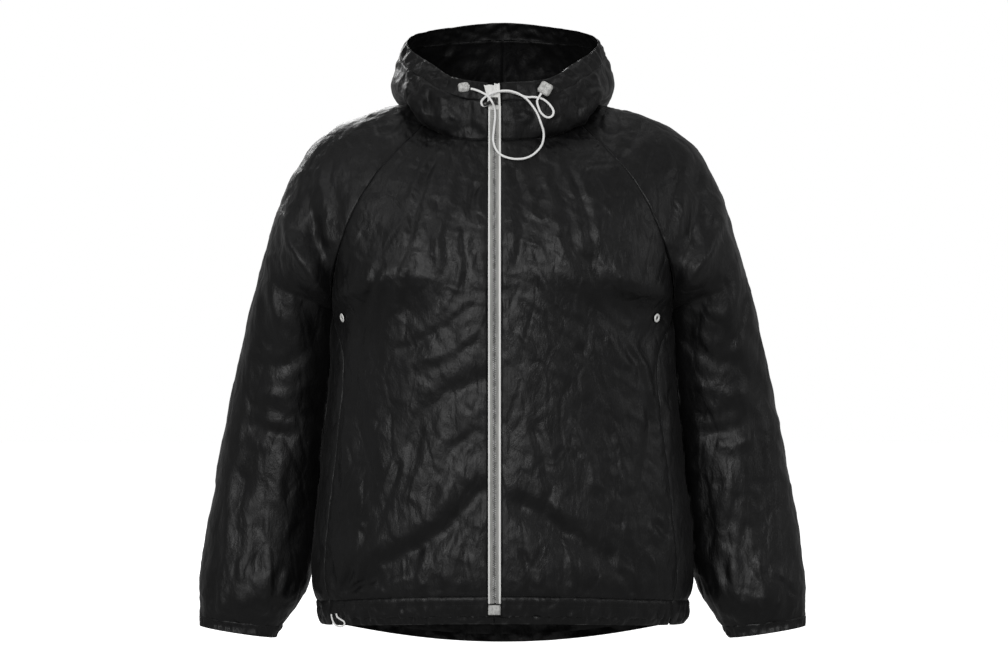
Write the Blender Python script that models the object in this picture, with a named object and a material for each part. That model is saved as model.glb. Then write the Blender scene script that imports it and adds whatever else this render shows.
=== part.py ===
"""Hooded raglan windbreaker jacket, filled out as if worn: its cut pieces, zip, cords and eyelets.

Metres, +Z up, the front faces -Y. The origin is at the wearer's neck base, level with the
points where the hood meets the shoulders. Tables are in millimetres.
"""

import math
from collections import namedtuple
from functools import lru_cache

import bmesh
import bpy
import numpy as np
from mathutils import Matrix, Vector
from mathutils.bvhtree import BVHTree

MM = 0.001
CLOTH = 1.6            # wall of a cut piece
SEAM = 0.3             # each piece stops this far short of its seam line
ZIP_X = -10.6          # the zip hangs a little to one side of centre
ZIP_HALF = 8.6         # from the middle of the zip to the front panel's edge
FRONT_COLUMNS = 10     # quads across a front panel
BACK_COLUMNS = 8       # quads from centre back to the widest line
WRAP_COLUMNS = 3       # quads of the back that wrap forward to the side seam
HOOD_CASING = 25       # height of the hood's drawcord casing

# ---------------------------------------------------------------- tables of the cut
# The body below the underarm. cf, side and cb are heights at centre front, side and centre back;
# half is the half width, front and back are the depths there, and share says how far round the
# front the side seam lies, 1 being the widest line.
Body = namedtuple("Body", "name cf side cb half front back share")
BODY = [
    Body("hem_edge", -693, -704, -742, 247, -131, 115, 0.72),
    Body("casing_mid", -676, -689, -724, 251, -138, 118, 0.72),
    Body("casing_top", -657, -673, -706, 253, -142, 120, 0.71),
    Body("low_hip", -628, -642, -664, 260, -146, 121, 0.71),
    Body("hip", -575, -580, -592, 258, -146, 118, 0.70),
    Body("waist_low", -512, -513, -520, 250, -145, 115, 0.70),
    Body("waist", -448, -448, -450, 243, -144, 113, 0.69),
    Body("rib_low", -385, -386, -385, 237, -145, 114, 0.68),
    Body("rib", -322, -328, -323, 232, -147, 117, 0.73),
    Body("underarm", -268, -275, -268, 230, -148, 120, 1.0),
]
SIDE_Y = 8             # the widest line lies a little behind the middle

# The yoke above the underarm, row by row up to the neck. rf and rb are the raglan seams in front
# and behind, top the line over the shoulder; crotch says how far the row still folds into the
# underarm, from 1 there to 0 where sleeve and body are one smooth surface.
Yoke = namedtuple("Yoke", "cf_y cf_z cb_y cb_z rf_x rf_y rf_z rb_x rb_y rb_z top_x top_y top_z crotch")
YOKE = [
    Yoke(-148, -268, 120, -268, 230, 8, -275, 230, 8, -275, 333, 25, -232, 1.0),
    Yoke(-149, -246, 121, -240, 230, -38, -260, 230, 54, -254, 322, 22, -196, 0.85),
    Yoke(-149, -222, 122, -205, 227, -70, -236, 227, 86, -222, 311, 20, -160, 0.55),
    Yoke(-147, -195, 121, -165, 219, -89, -204, 221, 103, -184, 298, 18, -123, 0.25),
    Yoke(-139, -163, 118, -124, 206, -98, -166, 211, 110, -144, 282, 16, -88, 0.08),
    Yoke(-127, -135, 112, -86, 189, -98, -130, 195, 109, -105, 260, 14, -55, 0.0),
    Yoke(-114, -110, 104, -53, 168, -90, -97, 172, 101, -68, 229, 12, -31, 0.0),
    Yoke(-103, -87, 94, -24, 144, -76, -69, 146, 87, -35, 192, 10, -15, 0.0),
    Yoke(-95, -68, 84, -1, 121, -57, -45, 119, 68, -8, 153, 7, -3, 0.0),
    Yoke(-88, -53, 76, 18, 105, -38, -27, 98, 48, 12, 112, 5, 5, 0.0),
]

# Closed rings of the sleeve from cuff to underarm. out and inn are the outer and inner lines,
# mid_y the middle of the depth and deep the half depth.
Ring = namedtuple("Ring", "name out_x out_z inn_x inn_z mid_y deep")
SLEEVE = [
    Ring("cuff_edge", 414, -710, 311, -726, 26, 31),
    Ring("cuff_top", 415, -699, 303, -714, 27, 32),
    Ring("blouse", 415.5, -678, 284, -686, 32, 52),
    Ring("wrist", 415, -645, 268, -659, 40, 64),
    Ring("forearm", 409, -590, 256, -610, 52, 70),
    Ring("below_elbow", 398, -525, 248, -548, 55, 71),
    Ring("elbow", 385, -455, 242, -478, 55, 71),
    Ring("above_elbow", 370, -385, 237, -410, 50, 71),
    Ring("upper_arm", 355, -318, 234, -346, 40, 73),
    Ring("below_underarm", 343, -268, 233, -302, 28, 75),
    Ring("underarm", 333, -232, 230.7, -275.2, 20, 75),
]
UNDERARM = len(BODY) - 1
NECK = UNDERARM + len(YOKE) - 1
SLEEVE_TOP = len(SLEEVE) - 1
SLEEVE_NECK = SLEEVE_TOP + len(YOKE) - 1

# The hood lies back. Each station is a line on from the neck seam to the face edge, in six
# points (x, y, z), going round from centre front to centre back.
HOOD = {
    "centre_front": [(0, -91, -39), (0, -92, -24), (0, -90, -9), (0, -87, 4), (0, -83, 15), (0, -80, 24)],
    "front": [(50, -85, -37), (50, -87, -23), (49, -86, -9), (48, -84, 5), (46, -80, 17), (45, -77, 27)],
    "throat": [(94, -72, -34), (98, -76, -16), (93, -74, 4), (84, -69, 19), (77, -64, 28), (71, -60, 35)],
    "jaw": [(121, -50, -14), (128, -54, 4), (121, -50, 22), (108, -44, 36), (98, -40, 45), (91, -37, 50)],
    "side": [(127, 3, 11), (141, 1, 14), (144, 0, 28), (139, 4, 48), (134, 9, 64), (128, 14, 80)],
    "behind_ear": [(114, 68, 8), (134, 90, -2), (150, 98, 18), (146, 90, 52), (135, 80, 82), (122, 72, 103)],
    "back_side": [(66, 95, 0), (80, 122, -52), (97, 154, -74), (106, 170, -12), (91, 150, 62), (70, 124, 119)],
    "centre_back": [(0, 104, -10), (0, 130, -92), (0, 162, -134), (0, 190, -56), (0, 174, 44), (0, 140, 127)],
}

# The largest folds in front view, as lines of (x, z): a trough where deep is below 0.
Fold = namedtuple("Fold", "name wide deep line")
FOLDS = [
    Fold("right_hip", 17, -8, ((-205, -650), (-176, -632), (-129, -604), (-75, -570), (-30, -520))),
    Fold("right_hip_ridge", 22, 4, ((-190, -600), (-129, -568), (-75, -530))),
    Fold("left_hip", 16, -7, ((24, -536), (79, -572), (134, -608))),
    Fold("right_waist", 15, -5, ((-24, -371), (-62, -387), (-101, -415), (-120, -461))),
    Fold("left_bust", 17, -7, ((118, -220), (143, -256), (168, -289), (189, -322))),
    Fold("right_raglan", 16, -3, ((-116, -58), (-145, -86), (-173, -116))),
    Fold("right_chest", 20, -5, ((-130, -103), (-150, -145), (-167, -188))),
    Fold("right_armpit", 13, -6, ((-246, -166), (-238, -200), (-229, -237))),
    Fold("right_upper_arm", 14, -6, ((-277, -240), (-262, -282), (-249, -320))),
    Fold("left_armpit", 13, -6, ((293, -176), (282, -222), (268, -270), (247, -315))),
    Fold("left_sleeve", 15, -6, ((347, -373), (350, -470), (347, -573))),
    Fold("left_elbow", 13, -6, ((285, -447), (325, -431))),
    Fold("right_sleeve", 15, -6, ((-322, -330), (-342, -430), (-352, -520))),
    Fold("right_elbow", 13, -6, ((-292, -452), (-330, -436))),
]

# The hood's elastic cord, in front view from one lock to the other: x, z, and how far its middle
# lies off the cloth or metal under it.
Cord = namedtuple("Cord", "x z off")
HOOD_CORD = [
    Cord(-42.4, 15, 5.0), Cord(-35.5, 13.3, 3.6), Cord(-27, 9.5, 5.5), Cord(-20, 4.6, 9.0), Cord(-14.6, -2.5, 10.5),
    Cord(-11.2, -10, 8.5), Cord(-9.7, -18.7, 3.6), Cord(-10.4, -30.5, 2.2), Cord(-11.8, -42.4, 2.2),
    Cord(-12.4, -54.2, 2.2), Cord(-9.5, -64.9, 2.3), Cord(-3.8, -72.3, 2.4), Cord(5, -77, 2.4),
    Cord(17.8, -79.4, 2.4), Cord(30.8, -78, 2.4), Cord(41.5, -72.6, 2.4), Cord(50.6, -63, 2.4),
    Cord(54.5, -51.9, 2.4), Cord(54.5, -41.2, 2.4), Cord(51, -30.5, 2.4), Cord(46, -17.5, 2.8),
    Cord(39.1, -6.8, 4.2), Cord(30.8, 2.1, 5.6), Cord(20.2, 8.6, 5.8), Cord(9.5, 11.6, 5.8), Cord(-1.2, 11.8, 5.8),
    Cord(-11.8, 9.4, 6.0), Cord(-19.6, 5.6, 5.0), Cord(-25.4, 1.6, 3.6), Cord(-28.2, -3, 2.4), Cord(-26.4, -7.6, 1.9),
    Cord(-21.6, -7.6, 1.9), Cord(-18.8, -3, 1.9), Cord(-17.2, 3.6, 2.0), Cord(-11.5, 8.8, 2.6), Cord(-2, 11.2, 2.6),
    Cord(9.5, 11, 2.1),
    Cord(20.5, 8, 2.0), Cord(31.5, 4, 2.0), Cord(42.7, 4, 2.0), Cord(53.4, 1.5, 2.0), Cord(62.4, -5.6, 2.0),
    Cord(67.8, -14.6, 2.0), Cord(66, -21.4, 2.2), Cord(59.3, -23.2, 2.4), Cord(51.6, -17.5, 3.0),
    Cord(47.6, -9.2, 4.4), Cord(46, -1.6, 5.8), Cord(48.4, 3.0, 5.4),
]
HEM_LOOP = [
    Cord(-229, -686, 1.6), Cord(-228, -692, 1.6), Cord(-225, -698.5, 1.6), Cord(-220.5, -701.5, 1.6),
    Cord(-215, -701.5, 1.7), Cord(-210.5, -698.5, 1.8), Cord(-211.5, -694.5, 1.9), Cord(-216, -692, 2.4),
    Cord(-220.5, -689, 2.4), Cord(-222, -684.5, 1.8),
]
EYELETS = ((-214, -289.5), (205, -289.5))
LOCKS = (("right", -50.7, 15.4, 16, 13.6), ("left", 55.7, 13.6, 19.5, 18.5))     # name, x, z, width, height


# ---------------------------------------------------------------- small geometry helpers
def smooth(values, t):
    """The table's value at row t, on a Catmull-Rom curve through its rows."""
    values = np.asarray(values, float)
    last = len(values) - 1
    t = min(max(t, 0.0), float(last))
    i = min(int(t), last - 1)
    s = t - i
    before = values[i - 1] if i else 2 * values[0] - values[1]
    after = values[i + 2] if i + 2 <= last else 2 * values[last] - values[last - 1]
    a, b = values[i], values[i + 1]
    return 0.5 * (2 * a + (b - before) * s + (2 * before - 5 * a + 4 * b - after) * s * s
                  + (3 * a - before - 3 * b + after) * s ** 3)


def bezier(p0, p1, p2, p3, s):
    r = 1 - s
    return r ** 3 * p0 + 3 * r * r * s * p1 + 3 * r * s * s * p2 + s ** 3 * p3


def unit(v):
    return v / np.linalg.norm(v)


def row_of(kind, table, t):
    return kind("", *smooth([row[1:] for row in table], t))


def yoke_seam(t, front):
    """A yoke row's centre, raglan seam and shoulder points, and the ways into and out of the seam."""
    y = Yoke(*smooth(YOKE, t))
    centre = np.array([0, y.cf_y, y.cf_z] if front else [0, y.cb_y, y.cb_z])
    seam = np.array([y.rf_x, y.rf_y, y.rf_z] if front else [y.rb_x, y.rb_y, y.rb_z])
    top = np.array([y.top_x, y.top_y, y.top_z])
    along = unit(unit(seam - centre) + unit(top - seam))
    inwards = np.array([0, 1.0 if front else -1.0, 0])
    arrive = unit((1 - y.crotch) * along + y.crotch * inwards)
    leave = unit((1 - y.crotch) * along - 1.2 * y.crotch * inwards)
    return centre, seam, top, arrive, leave, y.crotch


# ---------------------------------------------------------------- the cloth surfaces
# Each takes side (+1 or -1), u across and v up in table rows, and gives a point in millimetres.
def flip(side, p):
    return np.array([side * p[0], p[1], p[2]])


def folded(p):
    """The point moved back into the troughs and forward onto the ridges; only the front is folded."""
    fade = min(max((30 - p[1]) / 40, 0), 1)
    for fold in FOLDS:
        if fade == 0 or abs(p[0] - fold.line[0][0]) > 200:
            continue
        nearest = 1e9
        for a, b in zip(fold.line, fold.line[1:]):
            a, b, q = np.array(a), np.array(b), np.array([p[0], p[2]])
            s = min(max(np.dot(q - a, b - a) / np.dot(b - a, b - a), 0), 1)
            nearest = min(nearest, np.linalg.norm(q - a - s * (b - a)))
        p[1] -= fade * fold.deep * math.exp(-(nearest / fold.wide) ** 2)
    return p


def body_curve(side, t, front, start_x, s):
    b = row_of(Body, BODY, t)
    depth, middle = (b.front, b.cf) if front else (b.back, b.cb)
    start = np.array([start_x, depth, middle])
    end = np.array([b.half, SIDE_Y, b.side])
    bend = 0.60 if front else 0.58
    before = end + [0, bend * depth, 0]
    return folded(flip(side, bezier(start, start + [0.60 * b.half, 0, 0], before, end, s)))


def yoke_curve(side, t, front, start_x, s):
    start, seam, _, arrive, _, crotch = yoke_seam(t, front)
    end = seam - SEAM * arrive
    wide = np.linalg.norm(end - start)
    bend = 0.60 if front else 0.58
    reach = (bend * crotch + 0.36 * (1 - crotch)) * (abs(start[1]) * crotch + wide * (1 - crotch))
    fold = (0.60 * crotch + 0.40 * (1 - crotch)) * wide
    start[0] = start_x
    return folded(flip(side, bezier(start, start + [fold, 0, 0], end - reach * arrive, end, s)))


def front_point(side, u, v, edge=ZIP_HALF):
    """u from the zip to the side seam or raglan seam, v in rows from the hem edge to the neck."""
    start_x = side * ZIP_X + edge
    if v <= UNDERARM:
        share = row_of(Body, BODY, v).share
        return body_curve(side, v, True, start_x, u * (share - 0.0012))
    return yoke_curve(side, v - UNDERARM, True, start_x, u)


def back_point(side, u, v):
    """u from centre back to the widest line (1) and on round to the side seam (2)."""
    if v > UNDERARM:
        return yoke_curve(side, v - UNDERARM, False, 0, min(u, 1))
    if u <= 1:
        return body_curve(side, v, False, 0, u)
    share = min(1, row_of(Body, BODY, v).share + 0.0012)
    return body_curve(side, v, True, side * ZIP_X + ZIP_HALF, 1 - (u - 1) * (1 - share))


def sleeve_point(side, u, v):
    """u from the front edge (0) over the shoulder line (0.5) to the back edge (1), v from the cuff."""
    if v <= SLEEVE_TOP:
        r = row_of(Ring, SLEEVE, v)
        out, inn = np.array([r.out_x, r.mid_y, r.out_z]), np.array([r.inn_x, r.mid_y, r.inn_z])
        push = np.array([0, 4 / 3 * r.deep, 0])
        if u <= 0.5:
            return folded(flip(side, bezier(inn, inn - push, out - push, out, 2 * u)))
        return folded(flip(side, bezier(out, out + push, inn + push, inn, 2 * u - 1)))
    front = u <= 0.5
    _, seam, top, _, leave, crotch = yoke_seam(v - SLEEVE_TOP, front)
    seam = seam + SEAM * leave + np.array([0.7 * crotch, 0, -0.2 * crotch])
    ring = 4 / 3 * SLEEVE[-1].deep
    far = np.linalg.norm(top - seam)
    at_seam = seam + (crotch * ring + (1 - crotch) * 0.36 * far) * leave
    at_top = top + [0, (-1 if front else 1) * (crotch * ring + (1 - crotch) * 0.42 * far), 0]
    if front:
        return folded(flip(side, bezier(seam, at_seam, at_top, top, 2 * u)))
    return folded(flip(side, bezier(top, at_top, at_seam, seam, 2 * u - 1)))


def neck_point(side, u):
    """The neck seam from centre front (0) round to centre back (1)."""
    if u < 3 / 7:
        return front_point(side, u * 7 / 3, NECK)
    if u < 5 / 7:
        return sleeve_point(side, (u - 3 / 7) * 7 / 2, SLEEVE_NECK)
    return back_point(side, (1 - u) * 7 / 2, NECK)


@lru_cache(maxsize=4096)
def hood_line(side, u):
    """One line of the hood from neck seam to face edge, as close points and the lengths to them."""
    lift = 0.35 + 0.6 * u + 1.9 * math.exp(-((u - 0.55) / 0.12) ** 2)
    start = flip(side, neck_point(side, u)) + [0, 0, lift]
    stations = np.array([*HOOD.values(), HOOD["back_side"]], float)
    stations[0, :, 0] = side * ZIP_X + ZIP_HALF
    stations[-1, :, 0] *= -1        # past centre back the other half begins
    rest = smooth(stations, u * (len(HOOD) - 1))
    points = np.vstack([start, rest])
    line = np.array([smooth(points, t) for t in np.linspace(0, len(points) - 1, 61)])
    steps = np.linalg.norm(np.diff(line, axis=0), axis=1)
    return line, np.concatenate([[0], np.cumsum(steps)])


def hood_at(side, u, from_seam=None, from_edge=None):
    line, length = hood_line(side, u)
    s = from_seam if from_edge is None else length[-1] - from_edge
    return flip(side, np.array([np.interp(s, length, line[:, i]) for i in range(3)]))


def hood_point(side, u, v):
    """u from centre front (0) to centre back (1), v from the neck seam (0) to the casing (1)."""
    whole = hood_line(side, u)[1][-1] - HOOD_CASING
    return hood_at(side, u, from_seam=v * (whole - SEAM))


def hood_casing_point(side, u, v):
    return hood_at(side, u, from_edge=(1 - v) * (HOOD_CASING - SEAM))


# ---------------------------------------------------------------- making the solids
def material(name, colour, roughness, metallic=0.0):
    made = bpy.data.materials.new(name)
    made.use_nodes = True
    shader = made.node_tree.nodes["Principled BSDF"]
    shader.inputs["Base Color"].default_value = (*colour, 1)
    shader.inputs["Roughness"].default_value = roughness
    shader.inputs["Metallic"].default_value = metallic
    return made


def finish(name, mesh, made_of, crisp=math.radians(50)):
    for face in mesh.faces:
        face.smooth = True
    data = bpy.data.meshes.new(name)
    mesh.to_mesh(data)
    mesh.free()
    data.materials.append(made_of)
    data.set_sharp_from_angle(angle=crisp)
    obj = bpy.data.objects.new(name, data)
    bpy.context.scene.collection.objects.link(obj)
    return obj


def inner_way(place, u, v, turned):
    """The unit vector from the cloth's outer face to its inner face."""
    h = 0.004
    across = np.zeros(3)
    while np.linalg.norm(across) < 1e-3:      # columns that have run together into a corner
        across = place(min(u + h, 1), v) - place(max(u - h, 0), v)
        u_used, u = u, u + (h if u < 0.5 else -h)
    up = place(u_used, min(v + h, 1)) - place(u_used, max(v - h, 0))
    normal = unit(np.cross(across, up))
    return normal if turned else -normal


def cloth_sheet(name, place, across, up, made_of, turned=False, wall=CLOTH):
    """A grid laid on place(u, v) and a second one the cloth's thickness inside it."""
    mesh = bmesh.new()
    bmesh.ops.create_grid(mesh, x_segments=across, y_segments=up, size=0.5)
    inwards = mesh.verts.layers.float_vector.new("inwards")
    for vert in mesh.verts:
        u, v = vert.co.x + 0.5, vert.co.y + 0.5
        vert[inwards] = Vector(inner_way(place, u, v, turned))
        vert.co = Vector(place(u, v)) * MM
    bmesh.ops.remove_doubles(mesh, verts=mesh.verts, dist=0.05 * MM)
    bmesh.ops.triangulate(mesh, faces=mesh.faces)
    if turned:
        bmesh.ops.reverse_faces(mesh, faces=mesh.faces)
    rims = [edge for edge in mesh.edges if edge.is_boundary]
    outer = mesh.verts[:] + mesh.edges[:] + mesh.faces[:]
    made = bmesh.ops.duplicate(mesh, geom=outer)
    twins = made["vert_map"]
    inner_faces = [item for item in made["geom"] if isinstance(item, bmesh.types.BMFace)]
    bmesh.ops.reverse_faces(mesh, faces=inner_faces)
    for vert in [item for item in outer if isinstance(item, bmesh.types.BMVert)]:
        twins[vert].co = vert.co + vert[inwards] * wall * MM
    for edge in rims:
        loop = edge.link_loops[0]
        a, b = loop.vert, loop.link_loop_next.vert
        mesh.faces.new((b, a, twins[a], twins[b]))
    return finish(name, mesh, made_of)


def rows_between(low, high, low_row=50, high_row=50):
    """A function from 0..1 to row numbers, stopping SEAM short of both ends; a row has about that height."""
    first, last = low + SEAM / low_row, high - SEAM / high_row
    return lambda s: first + s * (last - first)


def make_body(black):
    casing_top = 2
    main_rows = rows_between(casing_top, NECK, 25, 20)
    casing_ends = rows_between(0, casing_top, 17, 15)
    closed_row, open_row = 0.56, 0.64      # under the zip's bottom end the casing closes

    def casing_rows(s):
        return np.interp(s, (0, 1 / 3, 2 / 3, 1), (casing_ends(0), closed_row, open_row, casing_ends(1)))

    for side, word in ((-1, "right"), (1, "left")):

        def front(u, v, side=side):
            return front_point(side, u, main_rows(v))

        def casing(u, v, side=side):
            row = casing_rows(v)
            return front_point(side, u, row, ZIP_HALF if row > open_row - 0.01 else 0.2)

        cloth_sheet("front_" + word, front, FRONT_COLUMNS, 20, black, side < 0)
        cloth_sheet("hem_front_" + word, casing, FRONT_COLUMNS, 3, black, side < 0)

    around = BACK_COLUMNS + WRAP_COLUMNS

    def whole_back(u, row):
        side = 1 if u < 0.5 else -1
        column = abs(1 - 2 * u) * around
        u = column / BACK_COLUMNS if column <= BACK_COLUMNS else 1 + (column - BACK_COLUMNS) / WRAP_COLUMNS
        return back_point(side, u, row)

    cloth_sheet("back", lambda u, v: whole_back(u, main_rows(v)), 2 * around, 20, black)
    cloth_sheet("hem_back", lambda u, v: whole_back(u, casing_rows(v)), 2 * around, 3, black)


def make_sleeves(black):
    arm_rows, cuff_rows = rows_between(1, SLEEVE_NECK, 14, 25), rows_between(0, 1, 12, 8)
    for side, word in ((-1, "right"), (1, "left")):
        cloth_sheet("sleeve_" + word, lambda u, v: sleeve_point(side, u, arm_rows(v)), 20, SLEEVE_NECK, black,
                    side < 0)
        cloth_sheet("cuff_" + word, lambda u, v: sleeve_point(side, u, cuff_rows(v)), 20, 1, black, side < 0)


def make_hood(black):
    for side, word in ((-1, "right"), (1, "left")):
        cloth_sheet("hood_" + word, lambda u, v: hood_point(side, u * 0.9985, v), 18, 12, black, side < 0)

    def casing(u, v):
        side = 1 if u < 0.5 else -1
        return hood_casing_point(side, 2 * u if u < 0.5 else 2 - 2 * u, v)

    cloth_sheet("hood_casing", casing, 36, 2, black)


# ---------------------------------------------------------------- zip, cords and eyelets
def surface_under(objects):
    """Looks from the front, in millimetres, for the foremost point near (x, z) and its way out."""
    every = bmesh.new()
    for obj in objects:
        every.from_mesh(obj.data)
    tree = BVHTree.FromBMesh(every)
    every.free()

    def look(x, z, around=1.2):
        best = None
        for reach in (around, 4.5):          # a ray through a gap to the back is no answer
            for dx, dz in ((0, 0), (reach, 0), (-reach, 0), (0, reach), (0, -reach)):
                hit, normal, _, _ = tree.ray_cast(Vector((x + dx, -300, z + dz)) * MM, Vector((0, 1, 0)))
                if hit is not None and (best is None or hit.y < best[0]):
                    best = (hit.y, normal)
            if best and best[0] < 0:
                break
        return np.array([x, best[0] / MM, z]), np.array(best[1])

    return look


def seat(look, x, z, half_wide, half_high):
    """A level place for a hard piece: the middle of its underside, just clear of the cloth, and its way out."""
    corners = [look(x + a * half_wide, z + b * half_high, 0)[0] for a, b in ((-1, -1), (1, -1), (1, 1), (-1, 1))]
    out = unit(np.cross(corners[2] - corners[0], corners[3] - corners[1])) * -1
    out = out if out[1] < 0 else -out
    middle = np.mean(corners, axis=0)
    cross = ((0, 0), (1, 0), (-1, 0), (0, 1), (0, -1), (0.5, 0.5), (-0.5, 0.5))
    near = corners + [look(x + a * half_wide, z + b * half_high, 0)[0] for a, b in cross]
    clear = max(float(np.dot(p - middle, out)) for p in near) + 0.35
    return middle + clear * out, out


def strip(name, stations, made_of):
    """A thin bar along stations of (y, z, x from, x to, front, back) in the plane x = constant."""
    mesh = bmesh.new()
    rows = []
    for i, (y, z, x0, x1, front, back) in enumerate(stations):
        before, after = stations[max(i - 1, 0)], stations[min(i + 1, len(stations) - 1)]
        along = unit(np.array([after[0] - before[0], after[1] - before[1]]))
        out = np.array([-along[1], along[0]])
        near, far = np.array([y, z]) + front * out, np.array([y, z]) + back * out
        corners = ((x0, *near), (x1, *near), (x1, *far), (x0, *far))
        rows.append([mesh.verts.new(Vector(c) * MM) for c in corners])
    for low, high in zip(rows, rows[1:]):
        for k in range(4):
            n = (k + 1) % 4
            mesh.faces.new((low[k], low[n], high[n], high[k]))
    mesh.faces.new(rows[0][::-1])
    mesh.faces.new(rows[-1])
    return finish(name, mesh, made_of, math.radians(30))


def zip_line():
    """(y, z) up the middle of the zip, from the hem casing to the hood's front edge."""
    rows = [0.80 + 0.4 * i for i in range(44)] + [NECK]
    points = [front_point(1, 0, row)[1:] for row in rows if row <= NECK]
    whole = hood_line(1, 0.0)[1][-1]
    points += [hood_at(1, 0.0, from_seam=whole * k / 8)[1:] for k in range(1, 9)]
    return points


def bar(name, frame, size, made_of, bevel=0.0, segments=2):
    """A box in its own frame (origin and three directions), its edges rounded by bevel."""
    mesh = bmesh.new()
    bmesh.ops.create_cube(mesh, size=1)
    bmesh.ops.scale(mesh, vec=Vector(size) * MM, verts=mesh.verts)
    if bevel:
        bmesh.ops.bevel(mesh, geom=mesh.edges[:], offset=bevel * MM, segments=segments, affect="EDGES", profile=0.5)
    bmesh.ops.transform(mesh, matrix=frame, verts=mesh.verts)
    return finish(name, mesh, made_of, math.radians(30))


def frame_at(origin, x, y, z):
    columns = [Vector(unit(np.asarray(axis, float))) for axis in (x, y, z)]
    made = Matrix((columns[0], columns[1], columns[2])).transposed().to_4x4()
    made.translation = Vector(origin) * MM
    return made


def join_to(target, *extras):
    """Unites helper solids into target and hides them."""
    for extra in extras:
        unite = target.modifiers.new("join " + extra.name, "BOOLEAN")
        unite.operation, unite.solver, unite.object = "UNION", "EXACT", extra
        extra.hide_render = True
        extra.display_type = "WIRE"


def make_zip(tape_cloth, coil, metal):
    line = zip_line()
    top = -8                 # height of the top of the teeth
    below = [p for p in line if -666 < p[1] < top - 2]
    start = (line[0][0] - 1.0, -665.7)
    middle = [start, *below, (below[-1][0] + 0.9, top)]
    strip("zip_chain", [(y, z, ZIP_X - 2.3, ZIP_X + 2.3, 1.1, -1.1) for y, z in middle], coil)

    above = [(below[-1][0] + 1.9, top + 3.8), *(p for p in line if p[1] > top + 6)]
    for word, side in (("right", -1), ("left", 1)):
        stations = [(y, z, *sorted((ZIP_X + side * 2.6, ZIP_X + side * 8.1)), 0.2, -0.8) for y, z in middle]
        for y, z in above:
            lean = max(0, z - top - 4) / 23
            rise = 1.6 * min(1, (z - top) / 4)
            inner, outer = side * (2.6 + 1.2 * lean), side * 8.1 + (-6.5 if side < 0 else -0.4) * lean
            stations.append((y, z, *sorted((ZIP_X + inner - 2.2 * lean, ZIP_X + outer)), 0.2 + rise, -0.8 + rise))
        strip("zip_tape_" + word, stations, tape_cloth)

    box = frame_at((ZIP_X, line[0][0] - 0.4, -674), (1, 0, 0), (0, 1, 0), (0, -0.12, 1))
    bar("zip_bottom_box", box, (16.4, 2.8, 13.6), metal, 0.5)


def make_slider(metal, look):
    at, _ = look(ZIP_X, -2.5, 4.5)
    up, out = unit(np.array([0, 0.30, 1])), unit(np.array([0, -1, 0.30]))
    right = np.array([1.0, 0, 0])
    reach = -0.894 * right - 0.447 * up        # the way the pull tab points
    pin_way = -0.447 * right + 0.894 * up

    def place(a, b, n):
        return at + a * reach + b * pin_way + n * out

    slider = bar("zip_slider", frame_at(at + 2.2 * out, right, up, out), (9.2, 10.6, 2.6), metal, 0.8)
    lugs = [bar(f"slider_lug_{k}", frame_at(place(0, k * 3.35, 4.2), reach, pin_way, out), (2.6, 0.9, 3.8), metal)
            for k in (-1, 1)]
    pin = bmesh.new()
    bmesh.ops.create_cone(pin, cap_ends=True, segments=16, radius1=0.5 * MM, radius2=0.5 * MM, depth=6.8 * MM)
    bmesh.ops.transform(pin, matrix=frame_at(place(0, 0, 5.4), out, reach, pin_way), verts=pin.verts)
    join_to(slider, *lugs, finish("slider_pin", pin, metal))

    # The tab is a strip whose end curls round the pin: its middle line, as (reach, out).
    curl = [(1.2 * math.cos(a), 5.4 + 1.2 * math.sin(a)) for a in np.radians(np.arange(-20, 271, 24.17))]
    spine = [np.array(p) for p in curl + [(4, 4.7), (8, 5.4), (12, 6.0), (16.6, 6.3)]]
    half = 0.4
    mesh = bmesh.new()
    rings = []
    for i, p in enumerate(spine):
        way = unit(spine[min(i + 1, len(spine) - 1)] - spine[max(i - 1, 0)])
        side = np.array([-way[1], way[0]]) * half
        width = 2.4 if i < len(spine) - 1 else 1.7
        corners = ((p + side, -width), (p + side, width), (p - side, width), (p - side, -width))
        rings.append([mesh.verts.new(Vector(place(q[0], b, q[1])) * MM) for q, b in corners])
    for low, high in zip(rings, rings[1:]):
        for k in range(4):
            n = (k + 1) % 4
            mesh.faces.new((low[k], low[n], high[n], high[k]))
    mesh.faces.new(rings[0][::-1])
    mesh.faces.new(rings[-1])
    bmesh.ops.recalc_face_normals(mesh, faces=mesh.faces)
    finish("zip_pull", mesh, metal, math.radians(30))


def cord_through(name, table, look, radius, spacing, made_of, floor=None):
    """A round cord whose middle keeps each row's distance from what lies under it."""
    knots = []
    for x, z, off in table:
        at, _ = look(x, max(z, floor) if floor else z)
        knots.append((x, at[1] - off, z))
    fine = np.array([smooth(knots, t) for t in np.linspace(0, len(knots) - 1, 12 * len(knots))])
    length = np.concatenate([[0], np.cumsum(np.linalg.norm(np.diff(fine, axis=0), axis=1))])
    count = int(round(length[-1] / spacing)) + 1
    where = np.linspace(0, length[-1], count)
    curve = bpy.data.curves.new(name, "CURVE")
    curve.dimensions = "3D"
    curve.bevel_depth, curve.bevel_resolution, curve.use_fill_caps = radius * MM, 2, True
    spline = curve.splines.new("POLY")
    spline.points.add(count - 1)
    for point, s in zip(spline.points, where):
        point.co = (*(np.interp(s, length, fine[:, i]) * MM for i in range(3)), 1)
    curve.materials.append(made_of)
    obj = bpy.data.objects.new(name, curve)
    bpy.context.scene.collection.objects.link(obj)
    return obj


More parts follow.
